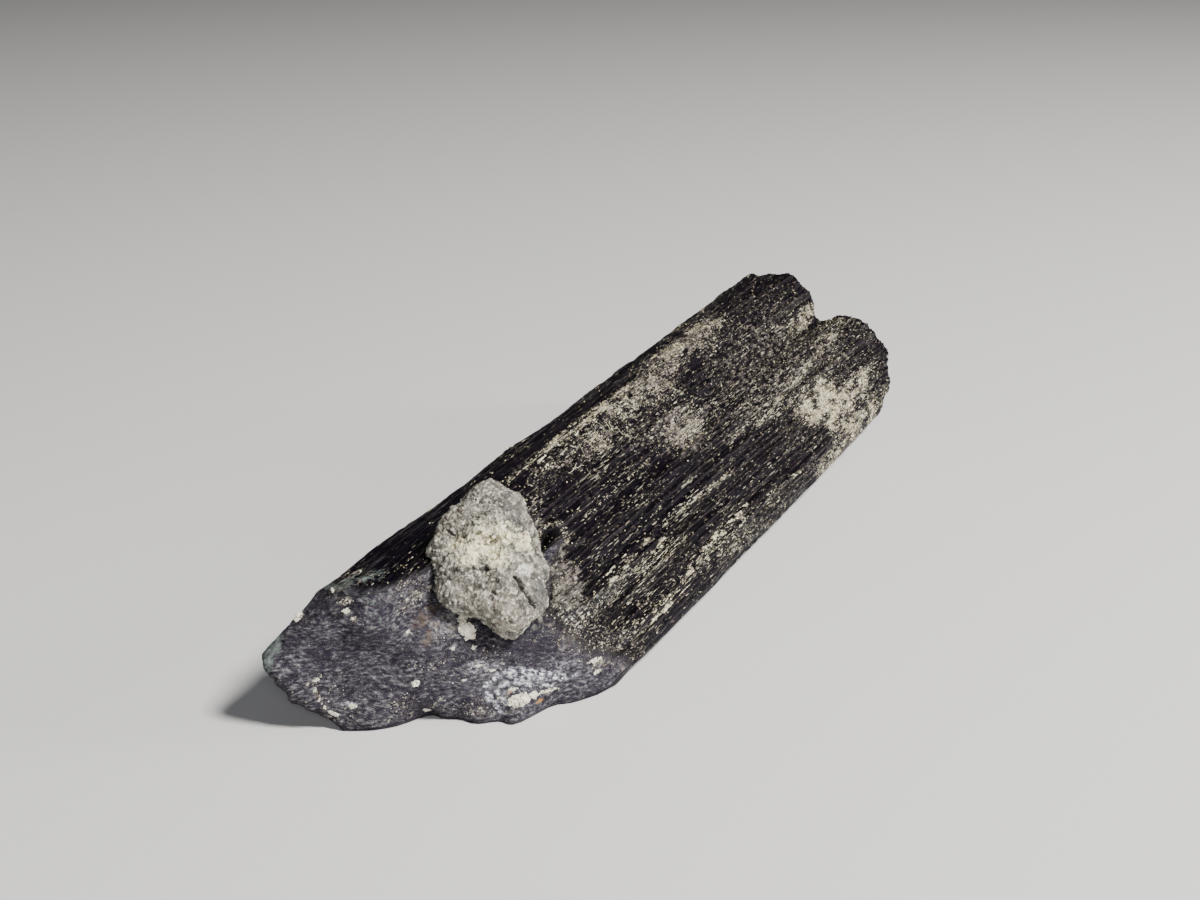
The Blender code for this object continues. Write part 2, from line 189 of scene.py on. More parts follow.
def drawn_surface(place, x):
    """(across, up) and the outward direction for columns at places, each at its own stations x."""
    face = np.minimum(place.astype(int), int(SOLE))
    part = (place - face)[:, None, None]
    start, end = section_line(face, x), section_line(face + 1, x)

    def outward(k):
        run = section_line(k + 1, x) - section_line(k, x)
        return unit(np.stack((-run[..., 1], run[..., 0]), -1))

    before, after = np.clip(0.5 - part, 0.0, 1.0), np.clip(part - 0.5, 0.0, 1.0)
    normal = outward(face) * (1 - before - after)
    normal = normal + outward((face - 1) % 12) * before + outward((face + 1) % 12) * after
    return start + (end - start) * part, unit(normal)


face_lengths = np.linalg.norm(np.diff(EDGE_LINES[:, 1], axis=0), axis=-1)
ARC = np.concatenate(([0.0], np.cumsum(face_lengths)))


def girth(place):
    """How many mm round the middle section a place is from the right sole edge."""
    return np.interp(place, np.arange(13), ARC)


def make_columns():
    places = []
    for face, gap in enumerate(COLUMN_GAPS):
        count = max(2, round(face_lengths[face] / gap))
        places += [face + k / count for k in range(count)]
    return np.array(places)


def blur(grid, across, along):
    """Softens a (columns, stations) grid, round the closed section and along it."""
    for _ in range(across):
        grid = 0.25 * np.roll(grid, 1, 0) + 0.5 * grid + 0.25 * np.roll(grid, -1, 0)
    for _ in range(along):
        wide = np.pad(grid, ((0, 0), (1, 1)), mode="edge")
        grid = 0.25 * wide[:, :-2] + 0.5 * grid + 0.25 * wide[:, 2:]
    return grid


def shifted(grid, steps, **padding):
    """The grid moved by each (rows, columns) step, its border filled as the padding says."""
    wide = np.pad(grid, 1, **padding)
    rows, columns = grid.shape
    return [wide[1 + a:1 + a + rows, 1 + b:1 + b + columns] for a, b in steps]


class EndBreak:
    """How far along X one broken end lies at each point of the cross section."""
    STEP, LOW, COUNT = 0.5, np.array((-26.0, -2.0)), (96, 66)

    def __init__(self, tree, toward):
        reach = np.full(self.COUNT, np.nan)
        for i, j in np.ndindex(self.COUNT):
            y, z = self.LOW + np.array((i, j)) * self.STEP
            hit, normal, _, _ = tree.ray_cast((-toward * 130, y, z), (toward, 0.0, 0.0))
            if hit is not None and -toward * normal.x > 0.2:
                reach[i, j] = hit.x
        # Past the solid's outline the break carries on from what is known beside it.
        for _ in range(60):
            beside = ((0, 1), (0, -1), (1, 0), (-1, 0))
            around = np.stack(shifted(reach, beside, constant_values=np.nan))
            known = ~np.isnan(around)
            mean = np.where(known, around, 0.0).sum(0) / np.maximum(known.sum(0), 1)
            reach = np.where(np.isnan(reach) & known.any(0), mean, reach)
        reach = np.where(np.isnan(reach), np.nanmean(reach), reach)
        nine = list(product((-1, 0, 1), repeat=2))
        for _ in range(2):
            moved = zip(nine, shifted(reach, nine, mode="edge"))
            reach = sum(grid * (2 - abs(a)) * (2 - abs(b)) for (a, b), grid in moved) / 16
        self.reach = reach

    def at(self, y, z):
        last = np.array(self.COUNT) - 1.001
        u = np.clip((np.stack((y, z), -1) - self.LOW) / self.STEP, 0.0, last)
        i = u.astype(int)
        t, v = np.moveaxis(u - i, -1, 0)
        r, a, b = self.reach, i[..., 0], i[..., 1]
        low = r[a, b] * (1 - t) + r[a + 1, b] * t
        high = r[a, b + 1] * (1 - t) + r[a + 1, b + 1] * t
        return low * (1 - v) + high * v


# ---- what marks the crystal's sides ----
# Patches are (place, x, half width round the section, half length, amount), lines are
# (half width, amount, (x, place), (x, place), ...).

CRUST_PATCHES = (
    (6.35, -21, 1.5, 7, 0.55), (6.25, -11, 2, 7, 0.75), (6.1, -1, 2.3, 7, 0.9), (5.98, 8, 2.4, 7, 0.65),
    (5.9, 19, 2.6, 8, 0.5), (6.15, 28, 3.6, 6, 0.8), (6.2, 41, 3.2, 5, 0.65), (5.6, -2, 2.6, 6, 0.45),
    (5.85, 35, 2.4, 5, 0.5), (5.8, -17, 1.8, 7, 0.55), (5.62, -7, 2.4, 7, 0.5), (5.72, 4, 2.4, 7, 0.55),
    (5.62, 14, 2.6, 6, 0.42), (6.37, -55, 0.7, 1.3, 0.5), (7.46, -56.3, 0.8, 0.9, 0.8),
    (6.6, -57, 0.8, 1.1, 0.4), (5.93, -52.6, 0.8, 1.4, 0.4), (4.9, 9, 3, 5.5, 0.5),
    (5.1, 14, 2.4, 4, 0.45), (2.12, -6, 1, 4.5, 0.5), (2.1, 4, 0.9, 3, 0.48), (1.65, -1, 1.2, 6, 0.36),
    (1.6, -43.5, 0.7, 1.2, 0.7), (3.1, -43, 1.2, 2.4, 0.22), (3, 43, 3, 6.5, 1.35),
    (2.4, 49, 3.8, 8.5, 1.3), (1.4, 50, 2.6, 10, 0.9), (1.5, 62, 3, 8, 0.85), (2.7, 60, 2.6, 6, 0.75),
    (1.2, 40, 1.6, 6, 0.6), (4.3, 58, 1.8, 4, 0.6), (5.2, 66, 1.4, 6, 0.75), (4.6, 66, 1.6, 4, 0.4),
    (9.5, -20, 2.6, 12, 0.45), (8.6, 30, 2.4, 14, 0.5), (10.3, 20, 2.6, 16, 0.5), (9.4, 54, 3, 10, 0.55),
    (7.4, 50, 2.4, 9, 0.35),
)
CRUST_LINES = (
    (0.5, 0.58, (-30, 6.05), (-18, 6.3), (-6, 6.25), (0, 6.05), (12, 5.92)),
    (0.32, 0.75, (-43, 2.9), (-30, 3.04), (-16, 3.18), (6, 3.08)),
    (0.3, 0.8, (-37, 1.7), (-31, 1.75), (-25.5, 1.74)),
    (0.34, 0.5, (-42, 1.82), (-34, 2.02), (-14, 2.05), (6, 2.08), (26, 2)),
    (0.5, 0.65, (14, 3.87), (25, 3.63), (43, 3.97), (60, 4.28)), (0.36, 0.4, (28, 3.45), (46, 3.62)),
    (0.28, 0.45, (-26, 4.75), (-4, 4.82), (9, 4.6)), (0.22, 0.45, (-24, 3.55), (0, 3.62)),
    (0.22, 0.4, (-30, 2.55), (-8, 2.62)), (0.3, 0.45, (-40, 8.02), (-5, 7.98), (20, 7.95), (50, 8)),
    (0.24, 0.35, (-24, 7.3), (16, 7.2)), (0.35, 0.4, (-50, 9), (10, 9.02), (60, 9)),
)
FILM_PATCHES = (
    (4.95, 9, 4.2, 8, 0.8), (5.3, 3, 2.6, 6, 0.45), (5.9, 16, 3.4, 16, 0.65), (6.3, 31, 4.2, 15, 0.75),
    (6.8, 44, 3.2, 6, 0.5), (2.2, -8, 2, 18, 0.34), (3.95, -41, 2.9, 4.6, 0.95), (4.55, -38, 2, 3.6, 0.6),
    (5.4, -41, 2.2, 3.4, 0.6), (3.4, 50, 6, 15, 0.42), (5.5, 54, 5, 13, 0.35), (1.5, 12, 2.4, 20, 0.45),
    (3.3, -44, 2, 3, 0.6), (9.4, 0, 4, 30, 0.4), (10.4, -10, 3, 40, 0.5), (4.6, 44, 12, 26, 0.52),
    (4.8, -14, 4, 9, 0.22), (5.7, -8, 2.8, 18, 0.5), (6.93, -58.6, 1.6, 2.2, 0.45),
    (7.6, -57.5, 1.8, 2.8, 0.45), (2.74, -41, 2.4, 3.6, 0.5), (5.35, -34.5, 2, 4.5, 0.66),
    (5.6, -28, 1.4, 3, 0.45), (8.5, 45, 3, 16, 0.45), (4.5, 62, 3.6, 8, 0.45),
)
# Where pale dust fills the fine grooves line by line.
LINED_PATCHES = (
    (2.75, -20, 1.5, 13, 1), (3.1, -7, 1.5, 9, 1), (2.35, -30, 1.2, 8, 0.7), (4.2, -18, 1.3, 10, 0.6),
    (3.7, -30, 1.2, 6, 0.7), (4, 30, 3, 16, 0.5), (5.3, -14, 1.3, 9, 0.7), (6.2, -22, 1, 9, 0.9),
    (4.7, 20, 2.4, 14, 0.5), (2.5, 10, 1.6, 14, 0.6), (8.02, -44, 0.5, 10, 0.5), (9.5, 10, 2.6, 24, 0.5),
)
# Where slivers of crust lie along the grooves.
SLIVER_PATCHES = (
    (6.15, -16, 1.3, 11, 1), (6, -2, 1.5, 8, 0.8), (2.75, -20, 1.3, 9, 0.9), (2.2, -34, 1.3, 7, 0.6),
    (2, -12, 1.4, 12, 0.8), (3.2, -10, 1, 9, 0.5), (5, -16, 0.9, 7, 0.4), (3, -33, 1.2, 6, 0.6),
    (5.95, 14, 1.4, 9, 0.4), (3.8, 28, 1.2, 12, 0.4), (2.6, 50, 2.4, 9, 0.5), (8.02, -44, 0.5, 9, 0.5),
)
# Seams of coarse bright crust, as lines.
CRUST_SEAMS = (
    (0.22, 1, (-33, 1.74), (-27.1, 1.73)), (0.2, 1, (-25, 1.88), (-22.6, 2)),
    (0.1, 1, (-31, 1.95), (-26, 1.98)), (0.12, 0.9, (-22.5, 1.62), (-19.5, 1.66)),
    (0.16, 0.9, (-18.6, 2.03), (-15.5, 2.06)), (0.1, 0.8, (-14.5, 2.08), (-11, 2.12)),
    (0.26, 1, (-9.2, 2.18), (-6.6, 2.2)), (0.22, 1, (-4, 2.17), (0, 2.19)),
    (0.16, 0.8, (3, 2.2), (6, 2.22)),
    (0.06, 0.8, (-37, 3.16), (-26.7, 3.25), (-18.8, 3.33), (-12.7, 3.39)),
    (0.06, 0.8, (-24.9, 2.81), (-19.1, 2.87), (-15, 2.93)), (0.06, 0.7, (-24, 2.73), (-16, 2.82)),
    (0.14, 0.9, (-20, 5.95), (-17, 5.97)), (0.1, 0.8, (-15, 5.95), (-6, 5.86)),
    (0.1, 0.7, (-12, 6.15), (-3, 6.1)), (0.08, 0.5, (-26, 6.12), (-18, 6.22)),
    (0.06, 0.5, (-27, 4.72), (-14, 4.8)), (0.2, 0.5, (38, 2.9), (48, 2.7)),
)
# Grey-green bloom along the rim above the broken end.
TEAL_PATCHES = (
    (7.4, -60.5, 3, 3.4, 0.78), (6.85, -57.6, 1.8, 2.6, 0.62), (8, -61.5, 1.6, 3, 0.62),
)
# Where matrix has spread thinly from the lump over the flank.
SMEAR_PATCHES = (
    (3.6, -43, 3, 4.2, 1), (4.35, -40.5, 2, 3.2, 0.9), (3, -43.5, 1.8, 2.6, 0.7),
    (4.9, -40.5, 1.6, 2.4, 0.8), (7.3, -61.4, 1.8, 3, 0.6), (7.5, -57, 1.2, 1.8, 0.7),
    (5.6, -42.5, 2.4, 3, 0.8), (2.2, -45, 1.2, 1.2, 0.5), (4.6, -37, 1.5, 1.8, 0.85),
)
GLOSS_PATCHES = (
    (7.1, -42, 5.2, 22, 1), (8.4, -36, 2.4, 22, 0.7), (3.3, -16, 2.8, 16, 0.8), (4.55, -14, 1.6, 16, 0.7),
    (3.6, 22, 1.6, 16, 0.4), (9.6, 30, 3, 18, 0.4),
)
# The pit beside the lump: its place and x, and its half width and half length.
PIT_PLACE, PIT_X, PIT_WIDE, PIT_LONG = 4.92, -34.2, 0.95, 1.15

LATHS = 1000
# Ribs of the growth direction: (width, run along the prism, height), widest first.
GROWTH_RIBS = ((2.6, 70.0, 0.2), (1.15, 40.0, 0.16), (0.56, 26.0, 0.14), (0.32, 16.0, 0.08))


def patches(table, s, x, seed):
    """Soft ragged patches on the sides, at s mm round them and x along."""
    ragged = layered(flat(s / 1.6, x / 4.5), seed)
    return strongest(
        amount * smooth(1.45 - np.hypot((s - girth(place)) / wide, (x - middle) / long) + 0.45 * ragged)
        for place, middle, wide, long, amount in table)


def lines(table, s, x, seed):
    """Thin deposits that follow a groove or a ridge."""
    ragged = layered(flat(s / 0.8, x / 2.4), seed)
    masks = []
    for half, amount, *stops in table:
        xs, places = zip(*stops)
        far = np.abs(s - np.interp(x, xs, girth(places))) / half
        ends = smooth((x - xs[0] + 3) / 3) * smooth((xs[-1] + 3 - x) / 3)
        masks.append(amount * ends * smooth(1.5 - far + 0.6 * ragged))
    return strongest(masks)


def growth_relief(s, x):
    """Height of the fine ribs, laths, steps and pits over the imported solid, in mm."""
    relief = np.zeros_like(x)
    for layer, (width, run, height) in enumerate(GROWTH_RIBS):
        value = clouds(flat(s / width, x / run, layer), 31 + layer)
        relief += height * (1.1 - 2.6 * np.abs(value))
    # Laths: parted slivers of the crystal that stand or lie a little off their neighbours.
    for _ in range(LATHS):
        place = rng.uniform(1.2, 11.0)
        if rng.random() < 0.55:
            place = rng.uniform(1.4, 5.6)
        half = 0.06 + 0.46 * rng.random() ** 2.6
        start, long = rng.uniform(-58.0, 68.0), rng.uniform(5.0, 38.0)
        height = rng.choice((-1.0, 1.0), p=(0.6, 0.4)) * rng.uniform(0.05, 0.2 + 0.22 * half)
        tilt = rng.uniform(-0.5, 0.5)
        off = s[:, 0] - girth(place)
        rows = np.abs(off) < half + 0.5
        off, along = off[rows, None], x[rows] - start
        wide = smooth((half - np.abs(off)) / 0.1 + 0.5)
        ends = smooth(along / 0.9) * smooth((long - along) / 1.6)
        relief[rows] += height * wide * ends * (1 + tilt * off / half)
    # Splintered notches across the ribs.
    notch = clouds(flat(s / 0.9, x / 1.5), 57)
    relief -= 0.2 * smooth((notch - 0.52) / 0.25)
    return relief + 0.05 * layered(flat(s / 0.6, x / 1.3), 61)


def rough_relief(s, x):
    """The lumpy skin where crust has settled or the surface is chipped."""
    points = flat(s / 1.7, x / 2.2)
    return 0.3 * layered(points, 71) + 0.12 * clouds(points * 3.1, 75)


# ---- what marks the broken end ----
# Spots are (across, up, half width, half height, amount).

BREAK_TEAL = (
    (17, 9.4, 1.6, 3.4, 1), (15.8, 13.2, 1.2, 1.3, 0.35), (12.6, 16.4, 2.6, 1, 0.55),
    (8.6, 17, 3, 0.8, 0.45), (5.5, 16.6, 2.2, 0.8, 0.5), (4.6, 14.6, 2.4, 1.8, 0.42),
    (-1.2, 11.8, 1.6, 1.2, 0.4), (-11.5, 10.4, 3, 0.8, 0.5), (-7, 9.6, 2, 0.9, 0.35),
    (-9.6, 9.7, 2.6, 0.8, 0.45),
)
# Icy curved ridges round the old impact: (half width, amount, (across, up), ...).
BREAK_ARCS = (
    (0.42, 1, (-6.4, 4.2), (-6.9, 4.9), (-7.8, 5.3), (-9.5, 5.4), (-11.8, 4.5), (-13.8, 3.5)),
    (0.34, 0.9, (-6.4, 4.3), (-6.7, 3.4), (-7.3, 2.5), (-8.3, 1.2)),
    (0.26, 0.85, (-7.9, 4), (-9.3, 4.4), (-10.9, 3.5), (-12.7, 3)),
    (0.24, 0.75, (-7.6, 3.5), (-8.1, 2.7), (-8.9, 2)),
    (0.3, 0.6, (-8.6, 4.9), (-10.6, 4.4), (-12.4, 3.9), (-14.6, 3.4)),
    (0.3, 0.4, (-4.6, 6.6), (-6, 5.9), (-7.2, 6.2)),
)
BREAK_ICE = (
    (-9.8, 3.9, 3, 1, 0.16), (-0.8, 11.6, 1.2, 0.9, 0.3), (7.8, 3.4, 0.8, 0.3, 0.5),
    (-4.9, 6.4, 1.2, 0.6, 0.45), (-13.2, 5, 1.2, 0.8, 0.22),
)
BREAK_CREAM = (
    (9.4, 2, 1.1, 0.6, 0.9), (11.2, 6.4, 0.5, 0.5, 0.7), (2.6, 15.7, 1.2, 0.7, 0.7),
    (3.6, 17.2, 0.9, 0.5, 0.5), (2.9, 14.6, 0.6, 0.7, 0.5), (-16.2, 3.8, 0.4, 0.5, 0.7),
    (-14.6, 6.2, 1.2, 1.4, 0.34), (-12.6, 8.6, 2.2, 1, 0.3), (0.2, 1.3, 0.4, 0.7, 0.8),
    (-1.6, 3.2, 1.8, 0.35, 0.6), (9, 16, 0.8, 0.5, 0.7), (4, 2.2, 8, 1.6, 0.42), (-6, 1.8, 5, 1.3, 0.42),
    (11, 4.4, 2.8, 2, 0.3), (-9, 2.2, 2.6, 0.9, 0.5), (-4, 7.2, 5, 1.6, 0.26), (7.6, 14.2, 0.5, 0.4, 0.6),
    (11.6, 16.4, 1.4, 0.7, 0.5),
)
BREAK_RUST = (
    (1.5, 12.6, 0.8, 1.2, 0.74), (0.4, 10.9, 0.6, 1.4, 0.74), (-11.9, 1.4, 0.35, 0.32, 1),
    (-8.9, 3.2, 0.32, 0.25, 0.95), (3.2, 13.6, 1, 0.6, 0.4), (-13.6, 7.8, 1, 1.3, 0.5),
    (0.2, 1.2, 0.3, 0.4, 0.8), (11, 4.8, 0.22, 0.4, 0.95),
)
# Chips and the white nodule: (across, up, half width, half height, how far they stand out).
NODULE = (-3.12, 10.68, 1.3, 1.35, 1.15)
QUARTZ_CHIPS = (
    (-2, 12, 0.6, 0.5, 0.3), (8.9, 14.9, 0.45, 0.3, 0.2), (15.2, 13.3, 0.6, 0.34, 0.25),
    (0.8, 5.4, 0.42, 0.36, 0.22), (7.2, 3.1, 0.5, 0.26, 0.16), (-10.3, 2.2, 1.35, 0.58, 0.36),
    (-12.5, 2.4, 1, 0.26, 0.26), (-9.2, 3.5, 0.5, 0.2, 0.14), (-4.3, 8.8, 0.26, 0.24, 0.16),
    (-5.1, 6.6, 0.42, 0.16, 0.12), (2.5, 11.6, 0.2, 0.18, 0.1), (-15.9, 4.4, 0.5, 0.3, 0.2),
    (-16.3, 2.9, 0.26, 0.26, 0.16), (-2.3, 9, 0.16, 0.28, 0.1), (7.7, 14.2, 0.2, 0.16, 0.1),
    (-4, 5.2, 0.26, 0.12, 0.1), (11.8, 16.5, 0.4, 0.22, 0.14), (9.1, 2, 0.5, 0.3, 0.16),
    (10.7, 4.3, 0.1, 0.4, 0.08), (11.3, 5.4, 0.12, 0.36, 0.08), (10.2, 3.1, 0.12, 0.34, 0.08),
    (11.2, 6.6, 0.26, 0.2, 0.1), (9.7, 2.4, 0.26, 0.2, 0.1), (0.2, 1.2, 0.26, 0.4, 0.14),
    (-6.4, 5.6, 0.3, 0.16, 0.1),
)
BREAK_FILM = (
    (-13.8, 8.8, 1.4, 1.8, 0.42), (-15.6, 5.6, 1.2, 1.6, 0.34), (-1, 11.6, 1.6, 1.6, 0.55),
    (11, 16, 3, 0.9, 0.36), (5, 16.6, 3, 0.8, 0.4), (-8.4, 4.4, 4, 2, 0.22),
)
BREAK_SMEAR = (
    (-10.8, 10.8, 2, 1.1, 0.62), (-13.9, 8.8, 0.7, 1, 0.3), (-0.9, 11.7, 1.6, 1.3, 0.62),
)
# Patches of painted shade on the break, where its colour is darkened and deepened.
BREAK_PAINTED_SHADE = (
    (-9.2, 8.6, 3.4, 1.7, 0.72), (-13, 10.4, 3.2, 1.8, 0.85), (-16.2, 7.4, 1.4, 2.2, 0.8),
    (9, 10.2, 3.6, 1.6, 0.35), (13.6, 12.2, 2, 1.2, 0.35), (1.6, 8.6, 2.6, 1.1, 0.35),
    (-3.2, 1.6, 2.6, 0.9, 0.35),
)
BREAK_VEIN = ((10.9, 7.0), (11.6, 6.1), (11.1, 5.2), (10.7, 4.3), (10.2, 3.2), (9.9, 2.3), (9.0, 1.8))
# A round swelling of the break: (across, up, radius).
BOULDER = (5.6, 13.4, 3.6)
# A point on the break's upper right edge, the way from there onto the flank, and the way across
# the ribs that run down over the edge.
LIP_POINT, LIP_AWAY, LIP_RIBS = (-10.8, 11.6), (-0.77, 0.638), (0.67, 0.742)


def spots(table, y, z, seed):
    """Soft ragged spots on a broken end."""
    ragged = layered(flat(y / 1.1, z / 0.9), seed)
    return strongest(amount * smooth(1.6 - np.hypot((y - across) / wide, (z - up) / tall) + 0.6 * ragged)
                     for across, up, wide, tall, amount in table)


def path_distance(points, path):
    """How far each point is from a path of straight runs."""
    best = np.full(len(points), 99.0)
    for a, b in zip(np.array(path[:-1], float), np.array(path[1:], float)):
        t = np.clip(((points - a) @ (b - a)) / ((b - a) @ (b - a)), 0.0, 1.0)
        best = np.minimum(best, np.linalg.norm(points - a - t[:, None] * (b - a), axis=1))
    return best


def flank_lip(y, z):
    """How far past the break's upper right edge a point is, and the share the flank takes."""
    past = (y - LIP_POINT[0]) * LIP_AWAY[0] + (z - LIP_POINT[1]) * LIP_AWAY[1]
    return past, smooth((past + 0.5 * layered(flat(y / 1.2, z / 1), 111)) / 0.9 + 0.5)


def break_relief(y, z):
    """Fibrous, splintery unevenness of the broken end, in mm outward from the break."""
    tilted = z + 0.16 * y
    fibres = layered(flat(y / 2.6, tilted / 0.42), 83)
    splinters = clouds(flat(y / 1.1, tilted / 0.24), 87)
    lumps = layered(flat(y / 2.4, z / 1.7), 91)
    near, _, _ = pebbles(flat(y / 0.8, z / 0.6, 0.5), 95)
    relief = 0.18 * fibres + 0.1 * splinters + 0.3 * lumps + 0.1 * (0.5 - near)
    relief += 0.08 * spots(BREAK_CREAM, y, z, 97)
    middle, up, radius = BOULDER
    reach = np.hypot(y - middle, (z - up) * 1.1) / radius
    relief += 0.55 * smooth(1.15 - reach) - 0.16 * smooth(1 - np.abs(reach - 1.08) / 0.14)
    vein = path_distance(np.stack((y, z), -1), BREAK_VEIN)
    relief -= 0.16 * smooth(1 - vein / 0.35)
    # The flank's ridges run down onto the break at its right upper edge.
    _, lip = flank_lip(y, z)
    rib = LIP_RIBS[0] * y + LIP_RIBS[1] * z
    ribs = sum(share * np.abs(clouds(flat(rib / width, 0 * y), seed))
               for share, width, seed in ((1.0, 0.55, 112), (0.5, 0.24, 113)))
    return relief * (1 - 0.7 * lip) + lip * (0.45 - 1.1 * ribs)


def break_marks(y, z, share):
    """The tints of the broken end; share fades them where they reach round onto the sides."""
    where = np.stack((y, z), -1)
    clumps = 0.3 + 0.85 * smooth(0.45 + 1.9 * layered(flat(y / 1.3, z / 1), 108))
    past, lip = flank_lip(y, z)
    cream = np.maximum(spots(BREAK_CREAM, y, z, 101), 0.34 * lip) * clumps
    cream = np.maximum(cream, smooth(1.3 - path_distance(where, BREAK_VEIN) / 0.11))
    wander = where + 0.16 * layered(flat(y / 0.9, z / 0.9), 109)[:, None]
    arcs = strongest(amount * smooth(1.35 - path_distance(wander, path) / half)
                     for half, amount, *path in BREAK_ARCS)
    band = np.maximum(0.5 * smooth(1 - np.abs(past + 0.5)), 0.3 * lip)
    marks = {"crust": cream, "lip": lip}
    for name, table, seed in (("teal", BREAK_TEAL, 102), ("ice", BREAK_ICE, 104),
                              ("rust", BREAK_RUST, 105), ("film", BREAK_FILM, 106),
                              ("smear", BREAK_SMEAR, 107), ("painted_break_shade", BREAK_PAINTED_SHADE, 110)):
        marks[name] = spots(table, y, z, seed)
    marks["ice"] = np.maximum(marks["ice"], arcs)
    marks["film"] = np.maximum(marks["film"], band)
    return {name: share * values for name, values in marks.items()}


def in_outline(points, outline):
    """Which points lie inside a closed outline."""
    odd = np.zeros(len(points), bool)
    for (y0, z0), (y1, z1) in zip(outline, np.roll(outline, -1, axis=0)):
        crosses = (z0 > points[:, 1]) != (z1 > points[:, 1])
        if z1 != z0:
            odd ^= crosses & (points[:, 0] < y0 + (points[:, 1] - z0) / (z1 - z0) * (y1 - y0))
    return odd


def fill_end(outline, gap):
    """Inner points and triangles that close an end; its first corners are the outline's own."""
    (left, low), (right, high) = outline.min(0), outline.max(0)
    inner = np.array([(y, z) for k, z in enumerate(np.arange(low, high, gap * 0.87))
                      for y in np.arange(left + 0.5 * gap * (k % 2), right, gap)])
    inner = inner + rng.uniform(-0.22, 0.22, inner.shape) * gap
    inner = inner[in_outline(inner, outline)]
    away = path_distance(inner, np.concatenate((outline, outline[:1])))
    inner, away = inner[away > 0.55 * gap], away[away > 0.55 * gap]
    count = len(outline)
    ring = [(k, (k + 1) % count) for k in range(count)]
    corners = [Vector(p) for p in np.concatenate((outline, inner)).tolist()]
    placed, _, triangles, sources, _, _ = delaunay_2d_cdt(corners, ring, [], 1, 1e-7)
    back = [source[0] if source else -1 for source in sources]
    # Points that the triangles had to add lie on the outline.
    for k, source in enumerate(back):
        if source < 0:
            back[k] = count + len(inner)
            inner, away = np.vstack((inner, placed[k])), np.append(away, 0.0)
    return inner, away, [tuple(back[k] for k in triangle) for triangle in triangles]


# ---- the crystal ----

def lay_over(tree, place, x, near_x, far_x):
    """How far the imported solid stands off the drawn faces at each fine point, smoothed."""
    inside = np.clip(x, near_x[:, None] + 1.2, far_x[:, None] - 1.2)
    base, normal = drawn_surface(place, inside)
    stand = np.zeros_like(x)
    for spot in np.ndindex(x.shape):
        out = np.array((0.0, *normal[spot]))
        start = np.array((inside[spot], *base[spot])) + 4 * out
        hit, _, _, far = tree.ray_cast(start, -out, 9.0)
        stand[spot] = 4 - far if hit is not None else 0.0
    return blur(stand, 7, 3)


def column_reach(place, end, start):
    """Where along X each column meets a broken end."""
    x = np.full(len(place), start)
    for _ in range(18):
        base, _ = drawn_surface(place, x[:, None])
        x += 0.6 * (end.at(base[:, 0, 0], base[:, 0, 1]) - x)
    return x


def side_marks(s, x, pit):
    """What lies on the sides, each mark a share; pit is the distance from the pit's middle."""
    tables = {"gloss": (GLOSS_PATCHES, 201), "crust": (CRUST_PATCHES, 202),
              "film": (FILM_PATCHES, 204), "smear": (SMEAR_PATCHES, 205),
              "lined": (LINED_PATCHES, 207), "teal": (TEAL_PATCHES, 208)}
    marks = {name: patches(table, s, x, seed) for name, (table, seed) in tables.items()}
    clumps = smooth(0.6 + 1.9 * layered(flat(s / 1.2, x / 1.9), 206))
    crust = np.maximum(marks["crust"], lines(CRUST_LINES, s, x, 203)) * (0.25 + 0.85 * clumps)
    marks["crust"] = np.maximum(crust, 0.62 * smooth(1 - np.abs(pit - 2.2) / 0.7))
    marks["film"] = np.maximum(marks["film"], 0.75 * blur(marks["crust"], 5, 3))
    return marks


def side_relief(s, x, marks, pit):
    """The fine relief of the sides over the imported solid, in mm."""
    crust, film, gloss = marks["crust"], marks["film"], marks["gloss"]
    coarse = rough_relief(s, x)
    rough = np.clip(0.25 + 0.9 * np.maximum(film, crust) + 0.5 * smooth((x - 30) / 40), 0, 1)
    fine = growth_relief(s, x) * (1 - 0.62 * gloss) * (1 - 0.45 * np.maximum(crust, 0.7 * film))
    fine += coarse * rough * (1 - 0.8 * gloss) + marks["smear"] * (0.16 + 0.8 * coarse)
    return fine - 2.3 * smooth((1.3 - pit) * 1.6)


